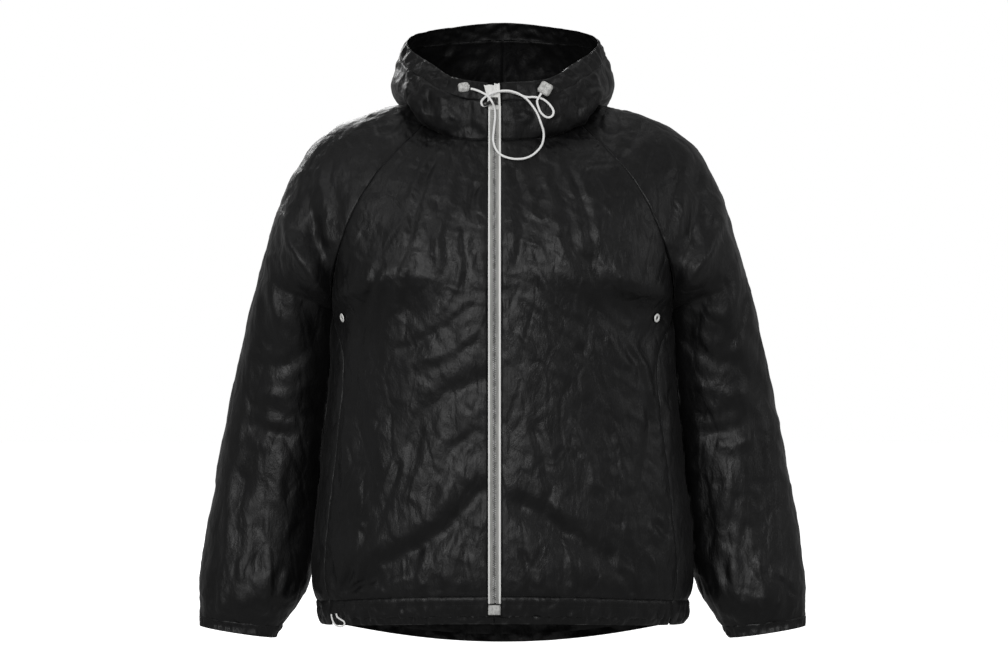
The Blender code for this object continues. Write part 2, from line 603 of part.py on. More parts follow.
def make_eyelet(name, at, out, made_of):
    """A pressed ring, turned about its own axis."""
    profile = [(2.3, 0), (2.9, 0.8), (4.2, 1.05), (5.5, 0.7), (6.0, 0.05), (4.5, 0)]
    side = unit(np.cross(out, [0, 0, 1]))
    frame = frame_at(at, side, np.cross(out, side), out)
    mesh = bmesh.new()
    turn = 24
    rings = [[mesh.verts.new((r * math.cos(a) * MM, r * math.sin(a) * MM, h * MM))
              for a in (2 * math.pi * k / turn for k in range(turn))] for r, h in profile]
    for low, high in zip(rings, rings[1:] + rings[:1]):
        for k in range(turn):
            n = (k + 1) % turn
            mesh.faces.new((low[k], low[n], high[n], high[k]))
    bmesh.ops.recalc_face_normals(mesh, faces=mesh.faces)
    bmesh.ops.transform(mesh, matrix=frame, verts=mesh.verts)
    finish(name, mesh, made_of)


def cut_hole(obj, at, out, radius):
    drill = bmesh.new()
    bmesh.ops.create_cone(drill, cap_ends=True, segments=24, radius1=radius * MM, radius2=radius * MM, depth=12 * MM)
    side = unit(np.cross(out, [0, 0, 1]))
    bmesh.ops.transform(drill, matrix=frame_at(at, side, np.cross(out, side), out), verts=drill.verts)
    cutter = finish(obj.name + "_drill", drill, obj.data.materials[0])
    cut = obj.modifiers.new("eyelet hole", "BOOLEAN")
    cut.operation, cut.solver, cut.object = "DIFFERENCE", "EXACT", cutter
    cutter.hide_render = True
    cutter.display_type = "WIRE"


def main():
    for obj in list(bpy.data.objects):
        bpy.data.objects.remove(obj)
    black = material("black_shell_cloth", (0.012, 0.012, 0.013), 0.5)
    make_body(black)
    make_sleeves(black)
    make_hood(black)

    tape_cloth = material("grey_zip_tape", (0.45, 0.45, 0.43), 0.8)
    coil = material("grey_zip_coil", (0.36, 0.36, 0.35), 0.45)
    box = material("grey_zip_box", (0.5, 0.5, 0.49), 0.4)
    dark_metal = material("dark_metal", (0.06, 0.06, 0.06), 0.35, 1)
    bright_metal = material("bright_metal", (0.8, 0.8, 0.78), 0.25, 1)
    plastic = material("grey_plastic", (0.4, 0.4, 0.4), 0.4)
    elastic = material("pale_elastic_cord", (0.7, 0.7, 0.7), 0.8)
    make_zip(tape_cloth, coil, box)

    every = bpy.data.objects
    cloth = [every[name] for name in ("front_left", "front_right", "hem_front_left", "hem_front_right", "hood_left",
                                      "hood_right", "hood_casing", "zip_tape_left", "zip_tape_right", "zip_chain")]
    make_slider(dark_metal, surface_under(cloth))
    look = surface_under([*cloth, every["zip_slider"]])
    for word, x, z, wide, high in LOCKS:
        at, out = seat(look, x, z, wide / 2 - 2, high / 2 - 3)
        across = unit(np.cross([0, 0, 1], -out))
        frame = frame_at(at + 4.5 * out, across, np.cross(out, across), out)
        bar("cord_lock_" + word, frame, (wide, high, 9), plastic, 2.6, 3)
    cord_through("hood_cord", HOOD_CORD, look, 1.5, 6.2, elastic)
    cord_through("hem_cord_loop", HEM_LOOP, look, 1.1, 4.0, elastic, floor=-690)
    for word, (x, z) in zip(("right", "left"), EYELETS):
        at, out = seat(look, x, z, 5.5, 5.5)
        make_eyelet("eyelet_" + word, at, out, bright_metal)
        cut_hole(every["front_" + word], at, out, 2.2)


main()
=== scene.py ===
import math

import bmesh
import bpy
import numpy as np
from mathutils import Matrix, Vector
from mathutils.bvhtree import BVHTree


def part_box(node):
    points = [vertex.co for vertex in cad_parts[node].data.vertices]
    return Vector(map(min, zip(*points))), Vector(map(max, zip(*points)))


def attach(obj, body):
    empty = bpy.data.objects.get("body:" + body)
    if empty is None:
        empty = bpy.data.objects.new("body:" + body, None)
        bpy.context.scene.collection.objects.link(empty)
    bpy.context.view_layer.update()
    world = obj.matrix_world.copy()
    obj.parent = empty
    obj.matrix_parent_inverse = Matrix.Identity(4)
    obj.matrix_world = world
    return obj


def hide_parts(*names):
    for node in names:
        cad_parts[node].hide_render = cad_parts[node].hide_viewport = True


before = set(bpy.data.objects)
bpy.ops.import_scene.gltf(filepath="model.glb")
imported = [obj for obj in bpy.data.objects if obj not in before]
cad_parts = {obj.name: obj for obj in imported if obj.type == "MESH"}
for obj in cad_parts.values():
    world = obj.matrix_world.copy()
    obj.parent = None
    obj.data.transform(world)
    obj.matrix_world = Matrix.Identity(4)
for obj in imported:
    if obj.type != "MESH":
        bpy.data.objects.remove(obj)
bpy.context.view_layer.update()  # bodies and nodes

mm = 0.001
scene = bpy.context.scene

# camera, light and stage
view = {"at": (0.002, -4.0, -0.314), "lens": 105, "floor": -0.79}
lens = bpy.data.cameras.new("frontCamera")
lens.lens, lens.sensor_width, lens.clip_end = view["lens"], 36, 60
frontCamera = bpy.data.objects.new("frontCamera", lens)
frontCamera.location, frontCamera.rotation_euler = view["at"], (math.pi / 2, 0, 0)
scene.collection.objects.link(frontCamera)
scene.camera = frontCamera


def softLamp(name, at, aim, size, power):
    lamp = bpy.data.lights.new(name, "AREA")
    lamp.shape, lamp.size, lamp.size_y, lamp.energy = "RECTANGLE", size[0], size[1], power
    obj = bpy.data.objects.new(name, lamp)
    obj.location = at
    obj.rotation_euler = (Vector(aim) - Vector(at)).to_track_quat("-Z", "Y").to_euler()
    scene.collection.objects.link(obj)


lamps = {      # place, aim, width and height in metres, and watts
    "keyLamp": ((-1.5, -1.5, 1.7), (0, 0, -0.35), (0.9, 0.9), 6),
    "sideLamp": ((2.3, -0.9, 0.5), (0.1, 0, -0.35), (0.6, 1.6), 7),
    "topLamp": ((0.1, 0.2, 2.2), (0, 0, -0.3), (1.2, 0.8), 4.2),
    "frontLamp": ((-0.7, -3.7, 0.55), (0, 0, -0.34), (2.2, 1.5), 66),
    "backLamp": ((-0.9, 2.6, 1.3), (0, 0, -0.35), (1.4, 1.2), 40)}
for lampName, (lampAt, lampAim, lampSize, power) in lamps.items():
    softLamp(lampName, lampAt, lampAim, lampSize, power)


# node helpers: sums on sockets, and one way to add any other node
class Sum:
    def __init__(self, shop, socket):
        self.shop, self.socket = shop, socket

    def join(self, kind, other):
        return self.shop.node("ShaderNodeMath", {"operation": kind}, {0: self, 1: other})

    def __add__(self, other):
        return self.join("ADD", other)

    def __mul__(self, other):
        return self.join("MULTIPLY", other)


class Finish:
    def __init__(self, name, settings):
        self.made = bpy.data.materials.new(name)
        self.made.use_nodes = True
        self.tree = self.made.node_tree
        self.shader = self.tree.nodes["Principled BSDF"]
        for key, value in settings.items():
            self.shader.inputs[key].default_value = value

    def node(self, kind, settings=None, inputs=None, out=0):
        made = self.tree.nodes.new(kind)
        for key, value in (settings or {}).items():
            setattr(made, key, value)
        for key, value in (inputs or {}).items():
            self.feed(made.inputs[key], value)
        return Sum(self, made.outputs[out])

    def feed(self, socket, value):
        if isinstance(value, Sum):
            self.tree.links.new(value.socket, socket)
        else:
            socket.default_value = value

    def onObject(self, scale=(1, 1, 1), turn=(0, 0, 0)):
        place = self.node("ShaderNodeTexCoord", out="Object")
        return self.node("ShaderNodeMapping", {}, {"Vector": place, "Scale": scale, "Rotation": turn})

    def noise(self, vector, scale, detail=3, rough=0.55, warp=0.0):
        inputs = {"Vector": vector, "Scale": scale, "Detail": detail, "Roughness": rough, "Distortion": warp}
        return self.node("ShaderNodeTexNoise", {}, inputs)

    def wave(self, vector, direction, scale, warp=0.0, detail=2.0):
        inputs = {"Vector": vector, "Scale": scale, "Distortion": warp, "Detail": detail}
        return self.node("ShaderNodeTexWave", {"bands_direction": direction}, inputs)

    def ramp(self, factor, low, high, toLow, toHigh):
        inputs = {"Value": factor, "From Min": low, "From Max": high, "To Min": toLow, "To Max": toHigh}
        return self.node("ShaderNodeMapRange", {"interpolation_type": "SMOOTHSTEP"}, inputs)

    def mixed(self, factor, first, second):
        made = self.tree.nodes.new("ShaderNodeMix")
        made.data_type = "RGBA"
        self.feed(made.inputs["Factor"], factor)
        for key, value in ((6, first), (7, second)):
            self.feed(made.inputs[key], value if isinstance(value, Sum) else (*value, 1))
        return Sum(self, made.outputs[2])

    def bump(self, height, strength, distance, normal=None):
        inputs = {"Height": height, "Strength": strength, "Distance": distance}
        if normal:
            inputs["Normal"] = normal
        return self.node("ShaderNodeBump", {}, inputs)

    def set(self, **links):
        for key, value in links.items():
            self.feed(self.shader.inputs[key.replace("_", " ")], value)
        return self.made


def grey(level, warm=0.0):
    return level, level, level - warm


def nylonFinish(name, light, rough, shine):
    nylon = Finish(name, {"Specular IOR Level": shine, "Sheen Weight": 0.02, "Sheen Roughness": 0.4})
    place = nylon.onObject()
    patches = nylon.noise(place, 9, 4, 0.6, 0.4)
    crush = nylon.noise(nylon.onObject((1, 1, 0.45)), 60, 5, 0.62, 0.35)
    fold = nylon.noise(nylon.onObject((1, 1, 0.5), (0, 0.5, 0)), 30, 4, 0.6, 0.5)
    fine = nylon.noise(nylon.onObject((1, 1, 0.6)), 230, 3, 0.6, 0.3)
    weave = nylon.wave(place, "X", 620, 0.6, 1) * nylon.wave(place, "Z", 620, 0.6, 1)
    facets = nylon.node("ShaderNodeTexVoronoi", {"feature": "DISTANCE_TO_EDGE"},
                        {"Vector": nylon.onObject((1, 1, 0.5), (0, 0.35, 0)), "Scale": 34})
    broken = nylon.bump(nylon.ramp(facets, 0, 0.16, 0, 1), 0.30, 0.0016)
    creased = nylon.bump(crush + fold * 1.2, 0.5, 0.0030, broken)
    crinkled = nylon.bump(fine, 0.36, 0.0009, creased)
    woven = nylon.bump(weave, 0.16, 0.00012, crinkled)
    tone = nylon.ramp(patches + crush * 0.5, 0.45, 1.05, 0, 1)
    roughness = nylon.ramp(crush + fine * 0.4, 0.4, 1.0, rough - 0.07, rough + 0.09)
    colour = nylon.mixed(tone, (0.0020, 0.0020, 0.0021), (light, light, light + 0.0003))
    return nylon.set(Base_Color=colour, Roughness=roughness, Normal=woven)


shellNylon = nylonFinish("shellNylon", 0.0056, 0.42, 0.29)
# the hood is the shell's nylon made darker and less shiny: painted shade on the hood and its casing
shadedHoodNylon = nylonFinish("shadedHoodNylon", 0.0052, 0.44, 0.21)
casingNylon = nylonFinish("casingNylon", 0.0058, 0.42, 0.29)

thread = Finish("blackThread", {"Roughness": 0.6, "Specular IOR Level": 0.3})
twist = thread.wave(thread.onObject(), "DIAGONAL", 900)
blackThread = thread.set(Base_Color=thread.mixed(twist, grey(0.006), grey(0.022)),
                         Normal=thread.bump(twist, 0.4, 0.0002))


def tapeFinish(name, low, high):
    tape = Finish(name, {"Roughness": 0.75, "Specular IOR Level": 0.25, "Sheen Weight": 0.15})
    rib = tape.wave(tape.onObject(), "X", 210, 0.3, 1)
    cross = tape.wave(tape.onObject(), "Z", 330, 0.8, 2)
    soil = tape.noise(tape.onObject((1, 1, 0.3)), 90, 4)
    tone = tape.ramp(rib * 0.5 + soil * 0.6 + cross * 0.2, 0.25, 1.0, 0, 1)
    return tape.set(Base_Color=tape.mixed(tone, low, high), Normal=tape.bump(rib + cross * 0.6, 0.55, 0.0004))


def plasticFinish(name, scale, low, high, shine, smooth):
    plastic = Finish(name, {"Specular IOR Level": shine})
    tone = plastic.noise(plastic.onObject(), scale, 3)
    colour = plastic.mixed(plastic.ramp(tone, 0.35, 0.65, 0, 1), low, high)
    return plastic.set(Base_Color=colour, Roughness=plastic.ramp(tone, 0.3, 0.7, smooth, 0.5))


# the tape's web beside the coil is the pale tape painted darker: painted shade in the groove
shadedGrooveTape = tapeFinish("shadedGrooveTape", grey(0.16, 0.005), grey(0.50, 0.02))
brightTape = tapeFinish("brightTape", grey(0.78, 0.02), grey(0.96, 0.02))
coilNylon = plasticFinish("coilNylon", 160, grey(0.26, 0.01), grey(0.50, 0.01), 0.5, 0.3)
paleBox = plasticFinish("paleBox", 220, grey(0.40, 0.01), grey(0.56, 0.02), 0.5, 0.35)

lockShade = Finish("speckledPlastic", {"Specular IOR Level": 0.4})
speck = lockShade.noise(lockShade.onObject(), 900, 2, 0.7)
cloud = lockShade.noise(lockShade.onObject(), 260, 3)
speckles = lockShade.ramp(speck * 0.7 + cloud * 0.5, 0.42, 0.72, 0, 1)
speckledPlastic = lockShade.set(Base_Color=lockShade.mixed(speckles, grey(0.26, 0.01), grey(0.68, 0.02)),
                                Roughness=lockShade.ramp(cloud, 0.3, 0.7, 0.38, 0.6),
                                Normal=lockShade.bump(speck, 0.35, 0.0003))

cordShade = Finish("paleElastic", {"Specular IOR Level": 0.25, "Sheen Weight": 0.2})
plait = cordShade.wave(cordShade.onObject(), "DIAGONAL", 330, 0.4)
counter = cordShade.wave(cordShade.onObject((-1, 1, 1)), "DIAGONAL", 330, 0.4)
paleElastic = cordShade.set(Base_Color=cordShade.mixed(plait * counter, grey(0.93, 0.01), grey(0.80, 0.01)),
                            Roughness=cordShade.ramp(plait, 0, 1, 0.6, 0.8),
                            Normal=cordShade.bump(plait * counter, 0.25, 0.0003))


def metalFinish(name, colour, worn, rough, metallic=1.0):
    metal = Finish(name, {"Metallic": metallic})
    wear = metal.noise(metal.onObject(), 300, 4, 0.6)
    tone = metal.mixed(metal.ramp(wear, 0.45, 0.7, 0, 1), colour, worn)
    roughness = metal.ramp(wear, 0.3, 0.7, rough, rough + 0.18)
    return metal.set(Base_Color=tone, Roughness=roughness, Normal=metal.bump(wear, 0.12, 0.0002))


darkMetal = metalFinish("darkMetal", grey(0.05), grey(0.22, 0.01), 0.28)
brightMetal = metalFinish("brightMetal", grey(0.92, 0.02), grey(0.74, 0.02), 0.34, 0.25)

floorShade = Finish("paleFloor", {"Roughness": 0.9, "Specular IOR Level": 0.1,
                                  "Emission Color": (1, 1, 1, 1), "Emission Strength": 0.76})
floorTone = floorShade.noise(floorShade.onObject(), 3)
paleFloor = floorShade.set(Base_Color=floorShade.mixed(floorTone, grey(0.93), grey(0.97)))

# the floor lies just under the hem, and the air round it is as pale
ground = bmesh.new()
bmesh.ops.create_grid(ground, x_segments=4, y_segments=4, size=9)
bmesh.ops.translate(ground, vec=(0, 0, view["floor"]), verts=ground.verts)
floorData = bpy.data.meshes.new("studioFloor")
ground.to_mesh(floorData)
ground.free()
floorData.materials.append(paleFloor)
studioFloor = bpy.data.objects.new("studioFloor", floorData)
scene.collection.objects.link(studioFloor)
studioFloor.visible_glossy = studioFloor.visible_diffuse = False
air = bpy.data.worlds.new("studioAir")
air.use_nodes = True
pale = air.node_tree.nodes["Background"]
pale.inputs["Color"].default_value = (1, 1, 1, 1)
# the air is white where it shows, and lights the cloth only dimly
seen = air.node_tree.nodes.new("ShaderNodeLightPath")
dim = air.node_tree.nodes.new("ShaderNodeMapRange")
dim.inputs["To Min"].default_value, dim.inputs["To Max"].default_value = 0.30, 1.0
air.node_tree.links.new(seen.outputs["Is Camera Ray"], dim.inputs["Value"])
air.node_tree.links.new(dim.outputs["Result"], pale.inputs["Strength"])
scene.world = air
scene.view_settings.view_transform = "Standard"
print("stage and finishes ready")

# the cut, in millimetres
cut = {"seam": 0.04, "zipX": -10.6, "zipHalf": 8.6, "casing": 25, "sideY": 8, "wall": 0.45,
       "foot": 9, "neck": 18}      # these two are rows: the underarm's and the neck's

# height at centre front, side and centre back, half width, front and back depth, side seam's share
bodyRows = np.array([
    (-693, -704, -742, 247, -131, 115, 0.72), (-676, -689, -724, 251, -138, 118, 0.72),
    (-657, -673, -706, 253, -142, 120, 0.71), (-628, -642, -664, 260, -146, 121, 0.71),
    (-575, -580, -592, 258, -146, 118, 0.70), (-512, -513, -520, 250, -145, 115, 0.70),
    (-448, -448, -450, 243, -144, 113, 0.69), (-385, -386, -385, 237, -145, 114, 0.68),
    (-322, -328, -323, 232, -147, 117, 0.73), (-268, -275, -268, 230, -148, 120, 1.0)], float)

# centre front y z, centre back y z, front raglan, back raglan, over the shoulder, how far it folds in
yokeRows = np.array([
    (-148, -268, 120, -268, 230, 8, -275, 230, 8, -275, 333, 25, -232, 1.0),
    (-149, -246, 121, -240, 230, -38, -260, 230, 54, -254, 322, 22, -196, 0.85),
    (-149, -222, 122, -205, 227, -70, -236, 227, 86, -222, 311, 20, -160, 0.55),
    (-147, -195, 121, -165, 219, -89, -204, 221, 103, -184, 298, 18, -123, 0.25),
    (-139, -163, 118, -124, 206, -98, -166, 211, 110, -144, 282, 16, -88, 0.08),
    (-127, -135, 112, -86, 189, -98, -130, 195, 109, -105, 260, 14, -55, 0.0),
    (-114, -110, 104, -53, 168, -90, -97, 172, 101, -68, 229, 12, -31, 0.0),
    (-103, -87, 94, -24, 144, -76, -69, 146, 87, -35, 192, 10, -15, 0.0),
    (-95, -68, 84, -1, 121, -57, -45, 119, 68, -8, 153, 7, -3, 0.0),
    (-88, -53, 76, 18, 105, -38, -27, 98, 48, 12, 112, 5, 5, 0.0)], float)

# outer and inner line of the sleeve, middle and half of its depth
sleeveRows = np.array([
    (414, -710, 311, -726, 26, 31), (415, -699, 303, -714, 27, 32), (415.5, -678, 284, -686, 32, 52),
    (415, -645, 268, -659, 40, 64), (409, -590, 256, -610, 52, 70), (398, -525, 248, -548, 55, 71),
    (385, -455, 242, -478, 55, 71), (370, -385, 237, -410, 50, 71), (355, -318, 234, -346, 40, 73),
    (343, -268, 233, -302, 28, 75), (333, -232, 230.7, -275.2, 20, 75)], float)
sleeveTop, sleeveNeck = 10, 19

# lines of the hood from neck seam to face edge, going round from centre front to centre back
hoodLines = np.array([
    [(0, -91, -39), (0, -92, -24), (0, -90, -9), (0, -87, 4), (0, -83, 15), (0, -80, 24)],
    [(50, -85, -37), (50, -87, -23), (49, -86, -9), (48, -84, 5), (46, -80, 17), (45, -77, 27)],
    [(94, -72, -34), (98, -76, -16), (93, -74, 4), (84, -69, 19), (77, -64, 28), (71, -60, 35)],
    [(121, -50, -14), (128, -54, 4), (121, -50, 22), (108, -44, 36), (98, -40, 45), (91, -37, 50)],
    [(127, 3, 11), (141, 1, 14), (144, 0, 28), (139, 4, 48), (134, 9, 64), (128, 14, 80)],
    [(114, 68, 8), (134, 90, -2), (150, 98, 18), (146, 90, 52), (135, 80, 82), (122, 72, 103)],
    [(66, 95, 0), (80, 122, -52), (97, 154, -74), (106, 170, -12), (91, 150, 62), (70, 124, 119)],
    [(0, 104, -10), (0, 130, -92), (0, 162, -134), (0, 190, -56), (0, 174, 44), (0, 140, 127)]], float)

# folds as (wide, deep, points of x and z); a trough is below 0
formFolds = [
    (17, -8, (-205, -650), (-176, -632), (-129, -604), (-75, -570), (-30, -520)),
    (22, 4, (-190, -600), (-129, -568), (-75, -530)), (16, -7, (24, -536), (79, -572), (134, -608)),
    (15, -5, (-24, -371), (-62, -387), (-101, -415), (-120, -461)),
    (17, -7, (118, -220), (143, -256), (168, -289), (189, -322)),
    (16, -3, (-116, -58), (-145, -86), (-173, -116)), (20, -5, (-130, -103), (-150, -145), (-167, -188)),
    (13, -6, (-246, -166), (-238, -200), (-229, -237)), (14, -6, (-277, -240), (-262, -282), (-249, -320)),
    (13, -6, (293, -176), (282, -222), (268, -270), (247, -315)),
    (15, -6, (347, -373), (350, -470), (347, -573)), (13, -6, (285, -447), (325, -431)),
    (15, -6, (-322, -330), (-342, -430), (-352, -520)), (13, -6, (-292, -452), (-330, -436))]

frontFolds = [
    # the wearer's right front: chest, waist, hip
    (7, -3.2, (-34, -96), (-42, -140), (-46, -190), (-40, -236)),
    (8, 2.6, (-62, -84), (-74, -128), (-84, -180), (-86, -232)),
    (6, -2.8, (-86, -66), (-102, -104), (-118, -150), (-124, -196)),
    (9, 3.0, (-118, -196), (-132, -236), (-142, -280), (-158, -330)),
    (7, -3.0, (-160, -205), (-172, -250), (-188, -300), (-200, -342)),
    (8, -2.6, (-30, -262), (-64, -296), (-110, -322), (-158, -350)),
    (7, 2.4, (-26, -300), (-70, -332), (-116, -352)),
    (9, -3.2, (-206, -352), (-188, -420), (-176, -486), (-180, -540)),
    (8, 3.0, (-224, -380), (-208, -450), (-206, -520)),
    (7, -2.4, (-28, -430), (-60, -462), (-88, -506), (-102, -560)),
    (8, 2.4, (-70, -440), (-108, -490), (-132, -548)),
    (6, -3.4, (-219, -662), (-204, -628), (-184, -590), (-170, -548)),
    (5, -3.0, (-219, -662), (-192, -642), (-158, -628), (-120, -622)),
    (5, -2.6, (-221, -660), (-232, -626), (-240, -590)),
    (5, -3.4, (-245, -595), (-252, -622), (-256, -643)), (5, 2.2, (-214, -664), (-188, -654), (-150, -648)),
    (7, -2.2, (-36, -560), (-52, -604), (-60, -648)), (6, 2.0, (-96, -590), (-104, -624), (-106, -652)),
    (6, -2.6, (-136, -470), (-150, -520), (-168, -566)), (5, 1.8, (-46, -200), (-66, -250), (-94, -296)),
    # the wearer's left front
    (7, -3.0, (16, -88), (24, -130), (26, -180), (18, -230)),
    (8, 2.8, (52, -82), (62, -130), (70, -180), (80, -228)),
    (6, -3.0, (78, -70), (96, -110), (112, -156), (120, -206)),
    (7, 2.8, (139, -303), (152, -332), (167, -361)), (7, 3.0, (171, -323), (188, -366), (206, -413)),
    (6, -2.8, (155, -310), (178, -352), (192, -400), (196, -450)),
    (8, -2.8, (22, -260), (58, -300), (96, -330), (134, -352)),
    (7, 2.2, (14, -300), (52, -342), (90, -374)),
    (9, -3.2, (214, -350), (196, -420), (186, -490), (190, -548)),
    (8, 2.8, (226, -400), (214, -470), (214, -540)), (5, -3.6, (200, -555), (211, -568), (221, -581)),
    (7, -2.6, (30, -420), (52, -470), (62, -520), (56, -570)),
    (7, 2.4, (84, -420), (110, -470), (120, -530)),
    (6, -2.4, (140, -420), (150, -478), (158, -536), (152, -590)),
    (6, 2.0, (90, -600), (96, -630), (94, -654)), (6, -2.6, (150, -620), (166, -642), (176, -660)),
    (6, -2.4, (20, -590), (32, -624), (34, -652)), (5, 2.0, (196, -600), (206, -630), (204, -656)),
    (7, -2.4, (110, -250), (116, -296), (106, -346)), (5, 1.8, (40, -214), (64, -262), (96, -290))]

sleeveFolds = [
    # the front of a sleeve, written for the wearer's left
    (9, 3.6, (248, -62), (242, -120), (228, -217)), (7, -3.0, (264, -80), (262, -130), (250, -200)),
    (8, -3.4, (300, -110), (302, -160), (290, -214)), (8, 3.0, (318, -190), (312, -250), (296, -310)),
    (7, -3.2, (330, -250), (322, -300), (300, -344)), (9, -3.4, (262, -330), (296, -352), (336, -356)),
    (8, 2.8, (256, -372), (294, -392), (344, -392)), (7, -3.2, (252, -420), (288, -424), (324, -412)),
    (9, 3.2, (300, -470), (306, -520), (300, -572)), (7, -3.0, (270, -500), (276, -552), (284, -606)),
    (8, -3.4, (330, -560), (326, -606), (334, -650)), (8, 3.0, (374, -500), (376, -560), (374, -620)),
    (6, -2.8, (300, -620), (306, -656), (316, -694)), (6, 2.6, (352, -610), (354, -656), (356, -696)),
    (6, -2.8, (388, -590), (392, -640), (388, -690)), (6, -2.4, (282, -640), (294, -668), (312, -690)),
    (7, 2.6, (270, -450), (306, -462), (350, -452)), (6, -2.4, (340, -420), (356, -470), (362, -520))]

backFolds = [
    (11, -3.6, (0, -60), (6, -120), (2, -190)), (10, 3.2, (-46, -40), (-60, -100), (-64, -170)),
    (9, -3.0, (58, -30), (80, -90), (92, -150)), (12, 3.6, (-110, -80), (-140, -150), (-160, -230)),
    (12, -4.0, (110, -120), (140, -190), (164, -262)), (11, -4.0, (-150, -250), (-120, -330), (-70, -380)),
    (12, 3.4, (-190, -290), (-164, -370), (-120, -430)), (11, -3.8, (170, -300), (130, -360), (70, -396)),
    (12, 3.4, (198, -340), (160, -410), (104, -450)), (10, -3.4, (-30, -260), (20, -300), (60, -350)),
    (11, -4.2, (-216, -430), (-196, -520), (-168, -600)),
    (12, 3.4, (-170, -470), (-140, -550), (-120, -640)),
    (10, -3.6, (-80, -440), (-60, -520), (-64, -610), (-76, -690)),
    (12, 3.6, (-20, -430), (-6, -520), (-12, -620)),
    (10, -3.4, (46, -460), (60, -550), (56, -640), (44, -700)),
    (11, 3.4, (110, -490), (124, -570), (118, -660)), (11, -4.0, (214, -440), (190, -520), (172, -610)),
    (9, -3.0, (150, -560), (160, -630), (152, -690)), (8, 2.6, (-40, -200), (-80, -250), (-130, -280)),
    (8, -2.6, (20, -210), (70, -240), (120, -300))]

hoodFolds = [
    (7, -2.6, (20, -30), (34, -8), (52, 10)), (6, 2.2, (60, -30), (70, -10), (76, 8)),
    (8, -3.0, (96, -10), (110, 10), (118, 34)), (7, 2.6, (128, 6), (130, 30), (122, 60)),
    (8, -3.0, (140, 20), (138, 50), (124, 84)), (9, 3.0, (60, -90), (74, -40), (84, 10), (80, 60)),
    (9, -3.2, (20, -110), (36, -60), (44, 0), (40, 70)), (7, 2.4, (104, -40), (112, 0), (106, 50)),
    (6, -2.2, (84, 70), (64, 96), (40, 112)), (7, -2.6, (0, -120), (2, -60), (0, 20), (2, 90))]


def smoothRows(values, t):
    last = len(values) - 1
    t = np.clip(np.asarray(t, float), 0, last)
    i = np.minimum(t.astype(int), last - 1)
    f = (t - i).reshape(t.shape + (1,) * (values.ndim - 1))
    edged = np.concatenate([[2 * values[0] - values[1]], values, [2 * values[-1] - values[-2]]])
    before, a, b, after = edged[i], edged[i + 1], edged[i + 2], edged[i + 3]
    square, cube = 2 * before - 5 * a + 4 * b - after, 3 * a - before - 3 * b + after
    return 0.5 * (2 * a + (b - before) * f + square * f * f + cube * f ** 3)


def bent(p0, p1, p2, p3, s):
    s = s[:, None]
    r = 1 - s
    return r ** 3 * p0 + 3 * r * r * s * p1 + 3 * r * s * s * p2 + s ** 3 * p3


def unit(v):
    return v / np.maximum(np.linalg.norm(v, axis=-1, keepdims=True), 1e-12)


def lengths(line):
    # how far along the line each of its points is
    return np.concatenate([[0], np.cumsum(np.linalg.norm(np.diff(line, axis=0), axis=1))])


def between(gone, s, values):
    # what the values come to at length s
    return np.array([np.interp(s, gone, column) for column in values.T])


def toLine(p, line):
    # distance from each (x, z) to a bent line, and how far along it the nearest point is
    q = p[:, [0, 2]]
    nearest, along, gone = np.full(len(q), 1e9), np.zeros(len(q)), 0.0
    whole = sum(math.dist(a, b) for a, b in zip(line, line[1:]))
    for a, b in zip(line, line[1:]):
        a, b = np.array(a, float), np.array(b, float)
        s = np.clip((q - a) @ (b - a) / ((b - a) @ (b - a)), 0, 1)
        d = np.linalg.norm(q - a - s[:, None] * (b - a), axis=1)
        step = np.linalg.norm(b - a)
        along = np.where(d < nearest, (gone + s * step) / whole, along)
        nearest = np.minimum(nearest, d)
        gone += step
    return nearest, along


def folded(p):
    fade = np.clip((30 - p[:, 1]) / 40, 0, 1)
    for wide, deep, *line in formFolds:
        nearest, _ = toLine(p, line)
        p[:, 1] -= fade * deep * np.exp(-(nearest / wide) ** 2)
    return p


def point(x, y, z):
    return np.stack(np.broadcast_arrays(np.asarray(x, float), y, z), axis=-1)


def mirrored(side, p):
    return folded(p * np.array([side, 1.0, 1.0]))


def bodyCurve(side, row, front, startX, s):
    b = smoothRows(bodyRows, row)
    depth, middle = (b[:, 4], b[:, 0]) if front else (b[:, 5], b[:, 2])
    start, end = point(startX, depth, middle), point(b[:, 3], cut["sideY"], b[:, 1])
    bend = 0.60 if front else 0.58
    leave, arrive = start + point(0.60 * b[:, 3], 0, 0), end + point(0, bend * depth, 0)
    return mirrored(side, bent(start, leave, arrive, end, s))


def yokeSeam(row, front):
    y = smoothRows(yokeRows, row)
    at = 0 if front else 2
    centre = point(0, y[:, at], y[:, at + 1])
    seam = y[:, 4:7] if front else y[:, 7:10]
    top, crotch = y[:, 10:13], y[:, 13:14]
    along = unit(unit(seam - centre) + unit(top - seam))
    inwards = np.array([0, 1.0 if front else -1.0, 0])
    arrive = unit((1 - crotch) * along + crotch * inwards)
    leave = unit((1 - crotch) * along - 1.2 * crotch * inwards)
    return centre, seam, top, arrive, leave, crotch


def yokeCurve(side, row, front, startX, s):
    start, seam, _, arrive, _, crotch = yokeSeam(row, front)
    end = seam - cut["seam"] * arrive
    wide = np.linalg.norm(end - start, axis=1)[:, None]
    bend = 0.60 if front else 0.58
    reach = (bend * crotch + 0.36 * (1 - crotch)) * (np.abs(start[:, 1:2]) * crotch + wide * (1 - crotch))
    turn = (0.60 * crotch + 0.40 * (1 - crotch)) * wide
    start[:, 0] = startX
    return mirrored(side, bent(start, start + turn * np.array([1.0, 0, 0]), end - reach * arrive, end, s))


def frontPoint(side, u, row, edge=None):
    u, row = np.broadcast_arrays(np.asarray(u, float), np.asarray(row, float))
    startX = side * cut["zipX"] + (cut["zipHalf"] if edge is None else edge)
    share = smoothRows(bodyRows, row)[:, 6]
    low = bodyCurve(side, row, True, startX, u * (share - 0.0003))
    high = yokeCurve(side, np.maximum(row - cut["foot"], 0), True, startX, u)
    return np.where((row <= cut["foot"])[:, None], low, high)


